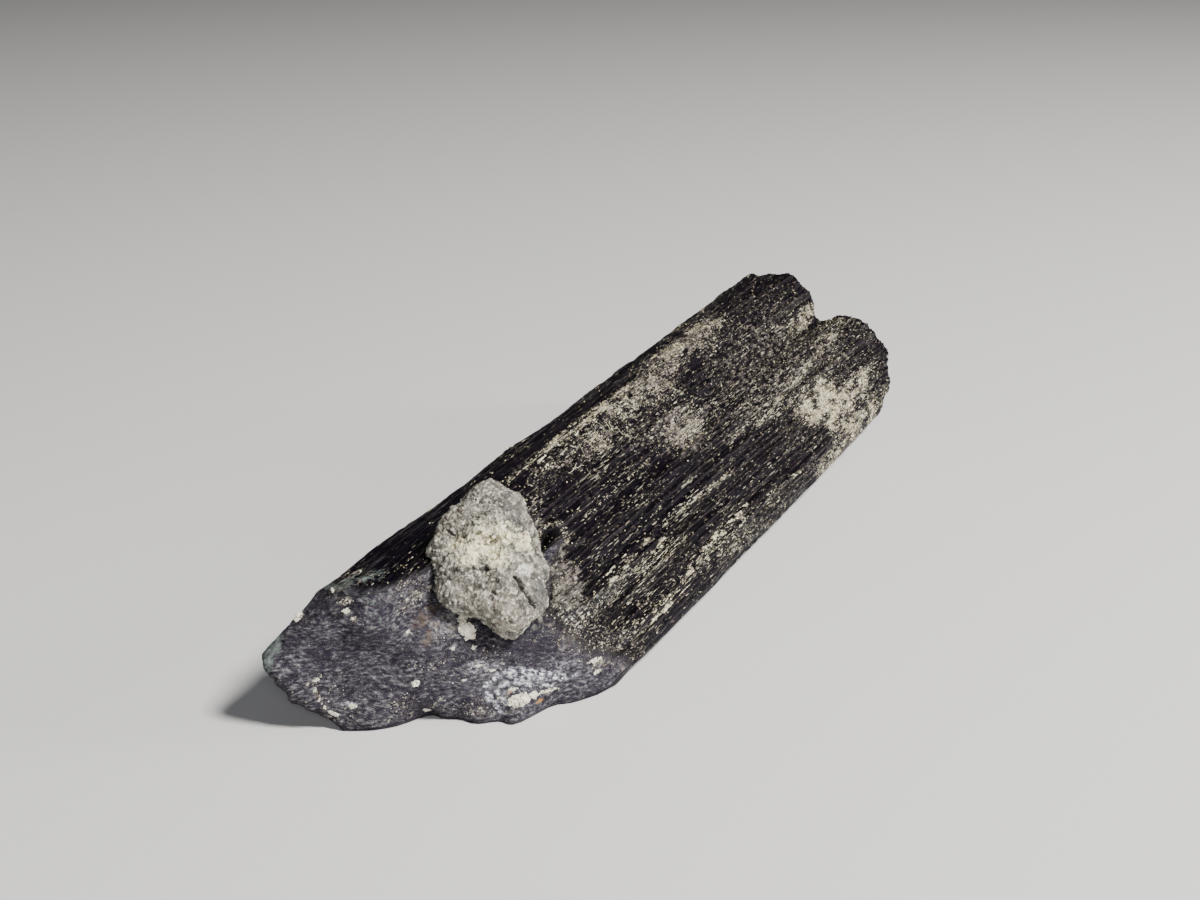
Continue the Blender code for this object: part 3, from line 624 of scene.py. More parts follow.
def build_crystal(material):
    """The prism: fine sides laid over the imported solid, closed by its two broken ends."""
    tree = solid_tree("tourmaline_crystal")
    near_end, far_end = EndBreak(tree, 1.0), EndBreak(tree, -1.0)
    place = make_columns()
    near_x, far_x = column_reach(place, near_end, -58.0), column_reach(place, far_end, 70.0)
    # The stations stand closest together at the near end.
    u = np.linspace(0.0, 1.0, STATIONS + 1)
    u = u + 0.34 * (u * u - u)
    x = near_x[:, None] + (far_x - near_x)[:, None] * u
    s = np.repeat(girth(place)[:, None], STATIONS + 1, axis=1)
    pit = np.hypot((s - girth(PIT_PLACE)) / PIT_WIDE, (x - PIT_X) / PIT_LONG)
    marks = side_marks(s, x, pit)
    edge = np.minimum(smooth((x - near_x[:, None]) / 1.4), smooth((far_x[:, None] - x) / 1.4))
    sole = smooth(np.minimum(place - SOLE, 12 - place) / 0.02)[:, None]
    fine = side_relief(s, x, marks, pit) * (0.45 + 0.55 * edge) * (1 - sole)
    base, normal = drawn_surface(place, x)
    rise = lay_over(tree, place, x, near_x, far_x) + fine
    y = base[..., 0] + normal[..., 0] * rise
    z = np.maximum(base[..., 1] + normal[..., 1] * rise, 0.0)

    # The outermost stations are drawn to the broken ends.
    ends = ((near_end, 0, 1, BREAK_GAP), (far_end, STATIONS, -1, FORK_GAP))
    for end, station, inward, _ in ends:
        rim = y[:, station], z[:, station]
        off = end.at(*rim) - inward * break_relief(*rim) - x[:, station]
        for step in range(DRAWN_STATIONS):
            x[:, station + inward * step] += off * (1 - step / DRAWN_STATIONS)

    index = np.arange(x.size).reshape(x.shape)
    beside = np.roll(index, -1, axis=0)
    faces = np.stack((index[:, :-1], beside[:, :-1], beside[:, 1:], index[:, 1:]), -1)
    faces = [tuple(face) for face in faces.reshape(-1, 4).tolist()]

    nearness = smooth(1 - (x - x[:, :1]) / 2.6)
    hollows = blur(fine, 4, 3) - fine
    # Painted shade and highlight: the hollows of the fine relief and the pit are marked to be painted
    # dark, the raised ribs to be painted lighter.
    marks["hollow"] = np.clip(hollows * 5, 0, 1) + smooth((1.65 - pit) * 2.2) * 1.2
    marks["ridge"] = np.clip(-hollows * 6, 0, 1)
    # The dull look of the break reaches round the rim, most on the left slope.
    dulled = (0.3 + 0.55 * smooth(place - 5.2))[:, None]
    marks["break_face"] = nearness * dulled * (1 - flank_lip(y, z)[1])
    sides = {"x": x, "y": y, "z": z, "s": s, "place": place, **marks}

    marks = {name: values.reshape(-1) for name, values in marks.items()}
    rim_marks = break_marks(y.reshape(-1), z.reshape(-1), nearness.reshape(-1))
    for name, values in rim_marks.items():
        marks[name] = np.maximum(marks.get(name, 0.0), values)
    points, total = [np.stack((x, y, z), -1).reshape(-1, 3)], x.size
    for end, station, inward, gap in ends:
        inner, away, triangles = fill_end(np.stack((y[:, station], z[:, station]), -1), gap)
        iy, iz = inner.T
        relief = break_relief(iy, iz) - 0.22 * smooth(1 - away / 0.7)
        points.append(np.stack((end.at(iy, iz) - inward * relief, iy, iz), -1))
        numbers = [*index[:, station].tolist(), *range(total, total + len(inner))]
        faces += [tuple(numbers[k] for k in triangle) for triangle in triangles]
        total += len(inner)
        near = float(station == 0)
        here = break_marks(iy, iz, near)
        here["film"] = np.maximum(here["film"], 0.08 + 0.42 * (1 - near))
        here["crust"] = here["crust"] + (1 - near) * 0.35
        here.update({
            "gloss": 0.7 * here["lip"], "lined": 0.15 * here["lip"],
            # Painted shade and highlight: the low places of the break are marked to be painted dark, the
            # high ones lighter.
            "hollow": smooth(-relief / 0.35 - 0.25), "ridge": smooth(relief / 0.3),
            "break_face": near * (1 - 0.92 * here["lip"]) + (1 - near) * 0.75,
        })
        marks = {name: np.append(values, here[name]) for name, values in marks.items()}

    points = np.concatenate(points)
    piece = make_piece("schorl_prism", points, faces, material, marks)
    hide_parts("tourmaline_crystal")
    return near_end, sides


# ---- shading ----

class Wire:
    """A value on its way through a shader. Sums written with it become the shader's own nodes."""

    def __init__(self, socket):
        self.socket = socket

    def joined(self, kind, a, b):
        return Wire(node(self.socket.id_data, "Math", {0: a, 1: b}, operation=kind).outputs[0])

    def __add__(self, other):
        return self.joined("ADD", self, other)

    def __sub__(self, other):
        return self.joined("SUBTRACT", self, other)

    def __rsub__(self, other):
        return self.joined("SUBTRACT", other, self)

    def __mul__(self, other):
        return self.joined("MULTIPLY", self, other)

    def __truediv__(self, other):
        return self.joined("DIVIDE", self, other)

    def __rtruediv__(self, other):
        return self.joined("DIVIDE", other, self)

    def or_more(self, other):
        return self.joined("MAXIMUM", self, other)

    def clamped(self):
        """Kept between 0 and 1."""
        self.socket.node.use_clamp = True
        return self


def set_inputs(made, values):
    """Wires up or sets some of a node's inputs."""
    for name, value in values.items():
        if isinstance(value, Wire):
            made.id_data.links.new(value.socket, made.inputs[name])
        else:
            made.inputs[name].default_value = value


def node(tree, kind, values=None, **settings):
    """One shader node with its settings made and its inputs set or wired."""
    made = tree.nodes.new("ShaderNode" + kind)
    for name, value in settings.items():
        setattr(made, name, value)
    set_inputs(made, values or {})
    return made


def vector_sum(kind, a, b, c=None):
    """A sum with places: b is a place or three numbers, or one number for SCALE."""
    values = {0: a, "Scale" if kind == "SCALE" else 1: b}
    if c is not None:
        values[2] = c
    return Wire(node(a.socket.id_data, "VectorMath", values, operation=kind).outputs[0])


def noise(place, scale, detail, roughness=0.5, output=0):
    values = {"Vector": place, "Scale": scale, "Detail": detail, "Roughness": roughness}
    return Wire(node(place.socket.id_data, "TexNoise", values).outputs[output])


def painted(colour):
    """A colour as a shader takes it, from red, green and blue or from a wire."""
    return colour if isinstance(colour, Wire) else (*colour, 1.0)


def tinted(share, below, above):
    """One colour laid over another."""
    values = {0: share, 6: painted(below), 7: painted(above)}
    return Wire(node(share.socket.id_data, "Mix", values, data_type="RGBA").outputs[2])


def between(share, low, high):
    """A number between two, by share."""
    values = {0: share, 2: low, 3: high}
    return Wire(node(share.socket.id_data, "Mix", values, data_type="FLOAT").outputs[0])


def ramp(value, *stops):
    """A colour for each value, from (value, colour) stops."""
    made = node(value.socket.id_data, "ValToRGB", {0: value})
    elements = made.color_ramp.elements
    elements[0].position, elements[0].color = stops[0][0], painted(stops[0][1])
    elements[1].position, elements[1].color = stops[-1][0], painted(stops[-1][1])
    for position, colour in stops[1:-1]:
        elements.new(position).color = painted(colour)
    return Wire(made.outputs[0])


def new_group(name, inputs, outputs):
    """A shared effect with inputs at (name, kind, usual value), all its outputs plain values."""
    group = bpy.data.node_groups.new(name, "ShaderNodeTree")
    for label, kind, usual in (("Vector", "Vector", None), *inputs):
        socket = group.interface.new_socket(label, in_out="INPUT", socket_type="NodeSocket" + kind)
        if usual is not None:
            socket.default_value = usual
    for label in outputs:
        group.interface.new_socket(label, in_out="OUTPUT", socket_type="NodeSocketFloat")
    entry, leave = group.nodes.new("NodeGroupInput"), group.nodes.new("NodeGroupOutput")
    given = {socket.name: Wire(socket) for socket in entry.outputs if socket.name}
    return group, given, leave.inputs


def make_speck_group():
    """Separate mineral specks: ragged grains of one size, of which a share show."""
    group, given, result = new_group(
        "mineral_specks",
        (("Size", "Float", 0.5), ("Amount", "Float", 0.3), ("Raggedness", "Float", 0.5)),
        ("Mask", "Tone"))
    spot = vector_sum("SCALE", given["Vector"], 1 / given["Size"])
    centred = vector_sum("SUBTRACT", noise(spot, 2.3, 1.0, output=1), (0.5, 0.5, 0.5))
    moved = vector_sum("ADD", spot, vector_sum("SCALE", centred, given["Raggedness"]))
    cells = node(group, "TexVoronoi", {"Vector": moved, "Scale": 1.0}).outputs
    chance = node(group, "SeparateColor", {0: Wire(cells["Color"])}).outputs
    lit = ((given["Amount"] - Wire(chance[0])) * 9).clamped()
    disc = ((between(Wire(chance[1]), 0.26, 0.52) - Wire(cells["Distance"])) * 6).clamped()
    group.links.new((lit * disc).socket, result["Mask"])
    group.links.new(chance[2], result["Tone"])
    return group


def make_mottle_group():
    """Cloudy patches: Amount 0 shows none and 1 covers nearly all, with a hard or soft edge."""
    group, given, result = new_group(
        "stone_mottle", (("Size", "Float", 1.0), ("Amount", "Float", 0.5), ("Edge", "Float", 0.1)),
        ("Mask", "Clouds"))
    drift = noise(given["Vector"], 1 / given["Size"], 4.0, 0.62)
    mask = ((drift - between(given["Amount"], 0.74, 0.26)) / given["Edge"]).clamped()
    group.links.new(mask.socket, result["Mask"])
    group.links.new(drift.socket, result["Clouds"])
    return group


def make_grain_group():
    """Fine granular height for bump: rounded grains with a rougher skin on them."""
    group, given, result = new_group("grain_height", (("Size", "Float", 0.4),), ("Height",))
    scale = 1 / given["Size"]
    cells = node(group, "TexVoronoi", {"Vector": given["Vector"], "Scale": scale}).outputs
    dome = 0.7 - Wire(cells["Distance"])
    height = dome * 0.7 + noise(given["Vector"], scale * 2.2, 3.0) * 0.6
    group.links.new(height.socket, result["Height"])
    return group


MINERAL_SPECKS = make_speck_group()
STONE_MOTTLE = make_mottle_group()
GRAIN_HEIGHT = make_grain_group()


class Finish:
    """One material in the making, with the shared effects at hand. Places in it are in mm."""

    def __init__(self, name):
        self.material = bpy.data.materials.new(name)
        self.material.use_nodes = True
        self.tree = self.material.node_tree
        self.shader = self.tree.nodes["Principled BSDF"]
        place = Wire(node(self.tree, "TexCoord").outputs["Object"])
        self.mm = vector_sum("SCALE", place, 1000.0)
        self.colour = None

    def mark(self, name):
        """A value kept on the points of the mesh."""
        return Wire(node(self.tree, "Attribute", attribute_name=name).outputs["Fac"])

    def effect(self, group, place=None, **values):
        """A shared effect placed here, as its outputs in order."""
        values["Vector"] = place or self.mm
        made = node(self.tree, "Group", values, node_tree=group)
        return [Wire(socket) for socket in made.outputs]

    def mottle(self, size, amount, edge, place=None):
        """The mask and the clouds of a mottle."""
        return self.effect(STONE_MOTTLE, place, Size=size, Amount=amount, Edge=edge)

    def specks(self, size, amount, raggedness, place=None):
        """The mask and the tones of scattered specks."""
        return self.effect(MINERAL_SPECKS, place, Size=size, Amount=amount, Raggedness=raggedness)

    def skin(self, size):
        """The height of a fine granular skin."""
        return self.effect(GRAIN_HEIGHT, Size=size)[0]

    def lay(self, share, above):
        """Lays a colour over what is there so far."""
        self.colour = tinted(share, self.colour, above)

    def done(self, roughness, height, strength, distance):
        """The material, with its roughness and its finest relief, whose distance is in metres."""
        values = {"Height": height, "Strength": strength, "Distance": distance}
        bump = Wire(node(self.tree, "Bump", values).outputs[0])
        set_inputs(self.shader, {"Base Color": self.colour, "Roughness": roughness, "Normal": bump})
        return self.material


def stretched(place, x, y, z):
    return vector_sum("MULTIPLY", place, (x, y, z))


def growth_way(finish):
    """Places drawn out along the prism on its sides, and across the slope on the break."""
    # The fibres of the break bend slowly to and fro.
    bent = vector_sum("MULTIPLY_ADD", noise(finish.mm, 0.16, 1, output=1), (0, 1.6, 2.2), finish.mm)
    ways = {4: stretched(finish.mm, 0.045, 1, 1), 5: stretched(bent, 0.75, 0.58, 1.65)}
    ways[0] = finish.mark("break_face")
    return Wire(node(finish.tree, "Mix", ways, data_type="VECTOR").outputs[1])


def paint_schorl(finish, ribs):
    """The bare mineral: violet-black ribs on the sides, slate fibres on the break; ridges painted lighter,
    and patches of painted shade on the break.
    """
    mark = finish.mark
    black = ramp(ribs, (0.4, (0.0006, 0.0004, 0.0012)), (0.57, (0.0034, 0.0018, 0.0052)),
                 (0.72, (0.018, 0.012, 0.02)))
    # The raised ribs are painted lighter grey-brown: partly wear, partly a painted highlight on the
    # ridges.
    ridge_wear_and_highlight = mark("ridge") * (ribs * between(mark("gloss"), 0.75, 0.25))
    black = tinted(ridge_wear_and_highlight, black, (0.055, 0.045, 0.048))
    slate = ramp(ribs, (0.38, (0.012, 0.01, 0.017)), (0.5, (0.041, 0.037, 0.048)),
                 (0.57, (0.09, 0.086, 0.096)), (0.68, (0.26, 0.255, 0.26)))
    veil = finish.mottle(2.1, 0.52, 0.13, stretched(finish.mm, 0.6, 0.42, 1))[0] * 0.66
    # Painted shade: the break is darkened to violet-black in its shade patches as well as in the random
    # veil.
    slate = tinted(veil.or_more(mark("painted_break_shade")), slate, (0.016, 0.012, 0.022))
    finish.colour = tinted(mark("break_face"), black, slate)


def stain_schorl(finish):
    """Verdigris, dusty film, rust, frost and spread matrix; gives the film's and matrix's masks."""
    mark, mottle = finish.mark, finish.mottle
    teal, clouds = mottle(0.8, mark("teal"), 0.22)
    finish.lay(teal * 0.8, ramp(clouds, (0.38, (0.045, 0.06, 0.057)), (0.62, (0.19, 0.225, 0.208))))
    film, clouds = mottle(0.75, mark("film"), 0.26, stretched(finish.mm, 0.6, 1, 1))
    finish.lay(film * 0.8, ramp(clouds, (0.38, (0.012, 0.009, 0.013)), (0.52, (0.064, 0.053, 0.055)),
                                (0.66, (0.32, 0.28, 0.24))))
    rust = mottle(0.6, mark("rust"), 0.28)[0]
    bright = ((mark("rust") - 0.84) * 7).clamped()
    finish.lay(rust * 0.8, tinted(bright, (0.105, 0.072, 0.048), (0.46, 0.22, 0.055)))
    rime = noise(stretched(finish.mm, 1, 0.42, 1), 2.6, 4, 0.62)
    frost = ramp(rime, (0.4, (0.1, 0.1, 0.135)), (0.5, (0.32, 0.325, 0.375)),
                 (0.6, (0.9, 0.9, 0.93)))
    finish.lay(mark("ice") * (rime * 5.2 - 2).clamped() * 0.95, frost)
    smear, clouds = mottle(0.8, mark("smear"), 0.2)
    finish.lay(smear, ramp(clouds, (0.36, (0.028, 0.026, 0.024)), (0.52, (0.082, 0.077, 0.068)),
                           (0.66, (0.27, 0.252, 0.215))))
    return film, smear


def crust_schorl(finish, grain_way):
    """Cream dust in the grooves, a coat and specks; gives the coat's and the fine specks' masks."""
    mark, mm = finish.mark, finish.mm
    on_break, crust = mark("break_face"), mark("crust")
    dusty = finish.mottle(4, 0.52, 0.25, stretched(mm, 0.4, 1, 1))[0]
    sprinkle = (dusty * 0.17 + 0.03) * between(on_break, 1, 0.35) * between(mark("gloss"), 1, 0.25)
    load = sprinkle + (crust * 0.55 + mark("film") * 0.2)
    # Pale dust caught in the fine grooves of the growth direction.
    bar = 0.668 - load * 0.2 - mark("lined") * 0.038
    caught = ((noise(grain_way, 7.5, 2, 0.6) - bar) * 34).clamped()
    finish.lay(caught * 0.9, tinted(mark("lined"), (0.28, 0.245, 0.2), (0.84, 0.79, 0.62)))
    coat, clouds = finish.mottle(0.42, crust * 0.72, 0.13, stretched(mm, 0.55, 1, 1))
    finish.lay(coat, ramp(clouds, (0.4, (0.2, 0.17, 0.11)), (0.52, (0.46, 0.41, 0.28)),
                          (0.64, (0.82, 0.78, 0.61))))
    fines, tone = finish.specks(0.24, load, 0.8)
    pale = ramp(tone, (0, (0.3, 0.265, 0.18)), (0.5, (0.6, 0.555, 0.42)), (1, (0.9, 0.88, 0.78)))
    finish.lay(fines, pale)
    finish.lay(finish.specks(0.55, load * 0.45, 1)[0], pale)
    slivers = finish.specks(0.22, load * 0.8, 0.8, stretched(mm, 0.14, 1, 1))[0]
    finish.lay(slivers * (1 - on_break), (0.72, 0.67, 0.51))
    return coat, fines


def schorl_material():
    """Black tourmaline: glossy violet-black ribs, a dull fibrous break, and cream crust."""
    finish = Finish("schorl_black")
    grain_way = growth_way(finish)
    ribs = noise(grain_way, 1.9, 5, 0.68)
    paint_schorl(finish, ribs)
    film, smear = stain_schorl(finish)
    coat, fines = crust_schorl(finish, grain_way)
    # Painted shade: the marked hollows, low places of the breaks and the pit are painted near black.
    finish.lay(finish.mark("hollow") * 0.9, (0.0018, 0.0015, 0.002))
    gloss = finish.mark("gloss")
    dull = (finish.mark("break_face") * 0.4 + film * 0.35).clamped().or_more(coat).or_more(smear)
    shine = between(gloss, 0.34, 0.2) + ribs * 0.16
    fine_ribs = noise(grain_way, 4.2, 3, 0.6) * between(gloss, 0.75, 0.3)
    height = between(dull, fine_ribs, finish.skin(0.3)) + coat * 0.5 + fines * 0.6
    finish.shader.inputs["IOR"].default_value = 1.63
    finish.shader.inputs["Specular IOR Level"].default_value = 0.07
    return finish.done(between(dull, shine, 0.9), height, 0.85, 0.0002)


def matrix_material():
    """Granular matrix: grey-brown ground, a patchwork of white grains, cream and slate areas."""
    finish = Finish("matrix_granular")
    mark, mottle = finish.mark, finish.mottle
    finish.colour = ramp(mottle(1.2, 0.5, 0.3)[1], (0.36, (0.06, 0.057, 0.048)),
                         (0.5, (0.185, 0.172, 0.14)), (0.64, (0.42, 0.39, 0.32)))
    slate, cream = mottle(1.3, mark("slate"), 0.3)[0], mark("cream")
    finish.lay(mottle(1.6, mark("brown"), 0.4)[0] * 0.55, (0.34, 0.28, 0.22))
    finish.lay(slate * 0.7, (0.09, 0.092, 0.088))
    # White grains run together into a winding patchwork, closest in the cream area.
    patchwork, clouds = mottle(0.62, cream * 0.32 + 0.5 - slate * 0.16, 0.07)
    white = ramp(clouds, (0.46, (0.4, 0.38, 0.32)), (0.53, (0.74, 0.71, 0.61)), (0.59, (1, 0.96, 0.8)))
    yellow = ramp(clouds, (0.4, (0.5, 0.43, 0.28)), (0.5, (0.88, 0.8, 0.54)), (0.58, (1, 0.94, 0.66)))
    shown = between(mottle(2.4, 0.5, 0.3)[0], 0.45, 0.95).or_more(cream)
    finish.lay(patchwork * shown, tinted(cream, white, yellow))
    grains, tone = finish.specks(0.5, 0.22, 1)
    finish.lay(grains, ramp(tone, (0, (0.4, 0.38, 0.34)), (1, (0.8, 0.78, 0.72))))
    finish.lay(finish.specks(0.42, 0.17, 1)[0] * 0.6, (0.07, 0.066, 0.062))
    finish.lay(mottle(0.5, mark("white"), 0.16)[0] * 0.9, (0.9, 0.87, 0.78))
    # Painted shade: the cracks and the gaps between grains are painted dark.
    finish.lay(mark("hollow") * 0.85, (0.022, 0.02, 0.02))
    height = finish.skin(0.32) + patchwork * 0.8
    return finish.done(between(grains, 0.92, 0.75), height, 0.9, 0.00018)


def quartz_material():
    """Milky chips and the white nodule on the break: cream white with grey and honey stains."""
    finish = Finish("milky_quartz")
    finish.colour = ramp(finish.mark("tone"), (0, (0.2, 0.19, 0.17)), (0.4, (0.52, 0.49, 0.42)),
                         (0.75, (0.86, 0.81, 0.66)), (1, (0.98, 0.94, 0.79)))
    finish.lay(finish.mottle(0.35, 0.3, 0.12)[0] * 0.45, (0.4, 0.34, 0.24))
    return finish.done(0.62, finish.skin(0.25), 0.8, 0.00012)


def grit_material():
    """The loose cream crust: each grain its own shade from olive through cream to white."""
    finish = Finish("crust_cream")
    finish.colour = ramp(finish.mark("tone"), (0, (0.2, 0.18, 0.1)), (0.35, (0.4, 0.35, 0.21)),
                         (0.7, (0.68, 0.61, 0.41)), (1, (0.98, 0.93, 0.73)))
    finish.lay(finish.mottle(0.5, 0.4, 0.2)[0] * 0.35, (0.16, 0.135, 0.09))
    return finish.done(0.82, finish.skin(0.14), 0.6, 0.00006)


# ---- the matrix lump ----
# Areas are balls (x, across, up, radius), cracks are (half width, depth, path).

LUMP_CREAM = (
    (-51.1, -3.2, 21.6, 2.2), (-49, -5.4, 22.2, 1.8), (-48.2, -8, 21, 1.7), (-51.4, -5.6, 20, 1.9),
    (-53, -2.6, 19.8, 1.6), (-51.8, -0.6, 20.8, 1.5),
)
LUMP_WHITE = (
    (-51, -9.3, 18.7, 1), (-51.6, -4.6, 20.6, 0.6), (-48.6, -5.2, 22.5, 0.6),
)
LUMP_BROWN = (
    (-49.5, 2.7, 22.8, 2.4), (-55.7, -8.4, 14.5, 3), (-55.5, -4.2, 15.6, 1.8), (-52.6, -9.6, 13, 2.2),
    (-50.8, 0.2, 22, 1.6),
)
LUMP_SLATE = (
    (-50.6, -11.2, 14.8, 2), (-50.4, -10.6, 16.8, 1.5), (-46.5, -5.8, 23.2, 1.5), (-44.6, -4.6, 24.4, 2.2),
    (-47.6, -10.4, 16.2, 2.4), (-46, -6.2, 22.6, 2),
)
LUMP_CRACKS = (
    (0.22, 0.7, ((-49.8, 2.8, 21.7), (-50.6, 1.4, 21.7), (-51.3, -1, 22), (-50.9, -3.2, 22.4))),
    (0.26, 0.75, ((-50.4, -4.5, 21.3), (-49.4, -5.6, 21.9))),
    (0.24, 0.75, ((-52.3, -8.7, 18), (-52.2, -9.9, 16.4), (-52.2, -11, 14.6), (-51, -12, 12.6))),
    (0.18, 0.35, ((-53.6, -3.6, 18.8), (-52.9, -5.4, 18.7), (-52.4, -6.6, 19))),
    (0.16, 0.3, ((-46.9, -6.6, 22.9), (-46.2, -8, 21.6))),
    (0.16, 0.3, ((-54.8, -6.4, 16.9), (-54.6, -7.8, 16))),
)
LUMP_BITE = (-45.2, -8.9, 19.6, 2.5)


def balls(table, points, seed):
    ragged = layered(points / 1.2, seed)
    return strongest(
        smooth(1.5 - np.linalg.norm(points - np.array(middle), axis=1) / radius + 0.5 * ragged)
        for *middle, radius in table)


def read_out(mesh):
    """A working mesh's corners, their normals and its faces. The mesh is freed."""
    corners = np.array([corner.co for corner in mesh.verts])
    normals = np.array([corner.normal for corner in mesh.verts])
    faces = [tuple(corner.index for corner in face.verts) for face in mesh.faces]
    mesh.free()
    return corners, normals, faces


def build_lump(material):
    """The matrix lump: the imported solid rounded, then roughened grain by grain."""
    mesh = bmesh.new()
    mesh.from_mesh(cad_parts["matrix_lump"].data)
    bmesh.ops.remove_doubles(mesh, verts=mesh.verts[:], dist=0.000002)
    for _ in range(3):
        bmesh.ops.subdivide_edges(mesh, edges=mesh.edges[:], cuts=1, use_grid_fill=True)
        bmesh.ops.smooth_vert(mesh, verts=mesh.verts[:], factor=0.5, use_axis_x=True,
                              use_axis_y=True, use_axis_z=True)
    bmesh.ops.triangulate(mesh, faces=mesh.faces[:])
    mesh.normal_update()
    corners, normals, faces = read_out(mesh)
    points = corners / MM - DRAWING_ORIGIN

    near, second, number = pebbles(points / 0.72, 301)
    cream = balls(LUMP_CREAM, points, 331)
    relief = 0.04 + 0.44 * layered(points / 2.6, 321) + 0.2 * layered(points, 325)
    for height, size, seed in ((0.22, 0.62, 327), (0.12, 0.3, 328)):
        relief += height * (0.5 - np.abs(clouds(points / size, seed)))
    relief += 0.17 * (smooth((second - near) / 0.3) - 0.5) * (0.4 + number)
    relief += 0.12 * (0.5 - pebbles(points / 0.42, 311)[0])
    relief += 0.18 * cream * clouds(points / 0.7, 335)
    relief -= 1.9 * balls((LUMP_BITE,), points, 337)
    wander = points + 0.22 * clouds(points / 0.8, 341)[:, None]
    cracks = [smooth(1.5 - path_distance(wander, path) / half) for half, _, path in LUMP_CRACKS]
    relief -= sum(depth * crack for (_, depth, _), crack in zip(LUMP_CRACKS, cracks))
    points = points + normals * relief[:, None]
    # Painted shade, to be darkened in colour: the gaps between grains and the cracks.
    painted_grain_gap_shade = smooth((0.13 - (second - near)) / 0.13) * 0.55
    marks = {
        "cream": cream, "white": 0.85 * balls(LUMP_WHITE, points, 351),
        "brown": balls(LUMP_BROWN, points, 361), "slate": balls(LUMP_SLATE, points, 371),
        "hollow": np.maximum(strongest(cracks) * 0.9, painted_grain_gap_shade),
    }
    piece = make_piece("granular_matrix", points, faces, material, marks)
    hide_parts("matrix_lump")


# ---- crust grains and threads ----

def random_turns(count):
    """Random rotations, one 3 by 3 matrix each."""
    w, x, y, z = unit(rng.normal(size=(count, 4))).T
    rows = ((1 - 2 * (y * y + z * z), 2 * (x * y - z * w), 2 * (x * z + y * w)),
            (2 * (x * y + z * w), 1 - 2 * (x * x + z * z), 2 * (y * z - x * w)),
            (2 * (x * z - y * w), 2 * (y * z + x * w), 1 - 2 * (x * x + y * y)))
    return np.moveaxis(np.array(rows), -1, 0)


def crumbs(places, normals, sizes, tones, drawn_out=1.0):
    """Irregular twenty-sided grains sunk a third of the way into the surface they sit on."""
    mesh = bmesh.new()
    bmesh.ops.create_icosphere(mesh, subdivisions=1, radius=1.0)
    corners, _, faces = read_out(mesh)
    count = len(places)
    shape = corners[None] * rng.uniform(0.62, 1.25, (count, len(corners), 1))
    widths = [rng.uniform(*limits, count) for limits in ((0.7, 1.5), (0.6, 1.1), (0.45, 0.9))]
    shape = shape * np.stack(widths, -1)[:, None, :]
    shape = np.einsum("nij,nkj->nki", random_turns(count), shape) * sizes[:, None, None]
    shape[..., 0] *= np.reshape(drawn_out, (-1, 1))
    middles = places + normals * (sizes * 0.25)[:, None]
    points = (shape + middles[:, None, :]).reshape(-1, 3)
    index = (np.array(faces)[None] + (np.arange(count) * len(corners))[:, None, None]).reshape(-1, 3)
    return points, [tuple(face) for face in index.tolist()], np.repeat(tones, len(corners))


# (across, up) of a line that runs through the prism from end to end.
CORE_LINE = (-2.0, 9.0)
# The places between which the sides stand clear of the sole.
CLEAR_OF_SOLE = (0.5, 10.9)
GRAINS, NODULE_CRUMBS, THREADS, THREAD_SIDES = 6700, 150, 15, 5


def sow(sides, weight, count):
    """Random spots on the crystal's sides, thicker where weight is high, with their normals."""
    grid = np.stack([sides[axis] for axis in "xyz"], -1)
    beside = np.roll(grid, -1, 0)
    a, b, c, d = grid[:, :-1], beside[:, :-1], grid[:, 1:], beside[:, 1:]
    area = np.linalg.norm(np.cross(b - a, c - a), axis=-1)
    chance = (weight[:, :-1] * area)[:-1]
    picks = rng.choice(chance.size, size=count, p=chance.reshape(-1) / chance.sum())
    i, j = np.divmod(picks, chance.shape[1])
    u, v = rng.random((2, count, 1))
    spot = ((1 - u) * (1 - v) * a[i, j] + u * (1 - v) * b[i, j]
            + (1 - u) * v * c[i, j] + u * v * d[i, j])
    across = grid[(i + 4) % len(grid), j] - grid[i - 4, j]
    along = grid[i, np.minimum(j + 2, grid.shape[1] - 1)] - grid[i, np.maximum(j - 2, 0)]
    normal = unit(np.cross(along, across))
    outward = np.sign(((spot[:, 1:] - CORE_LINE) * normal[:, 1:]).sum(1))
    return spot, normal * outward[:, None], (i, j)


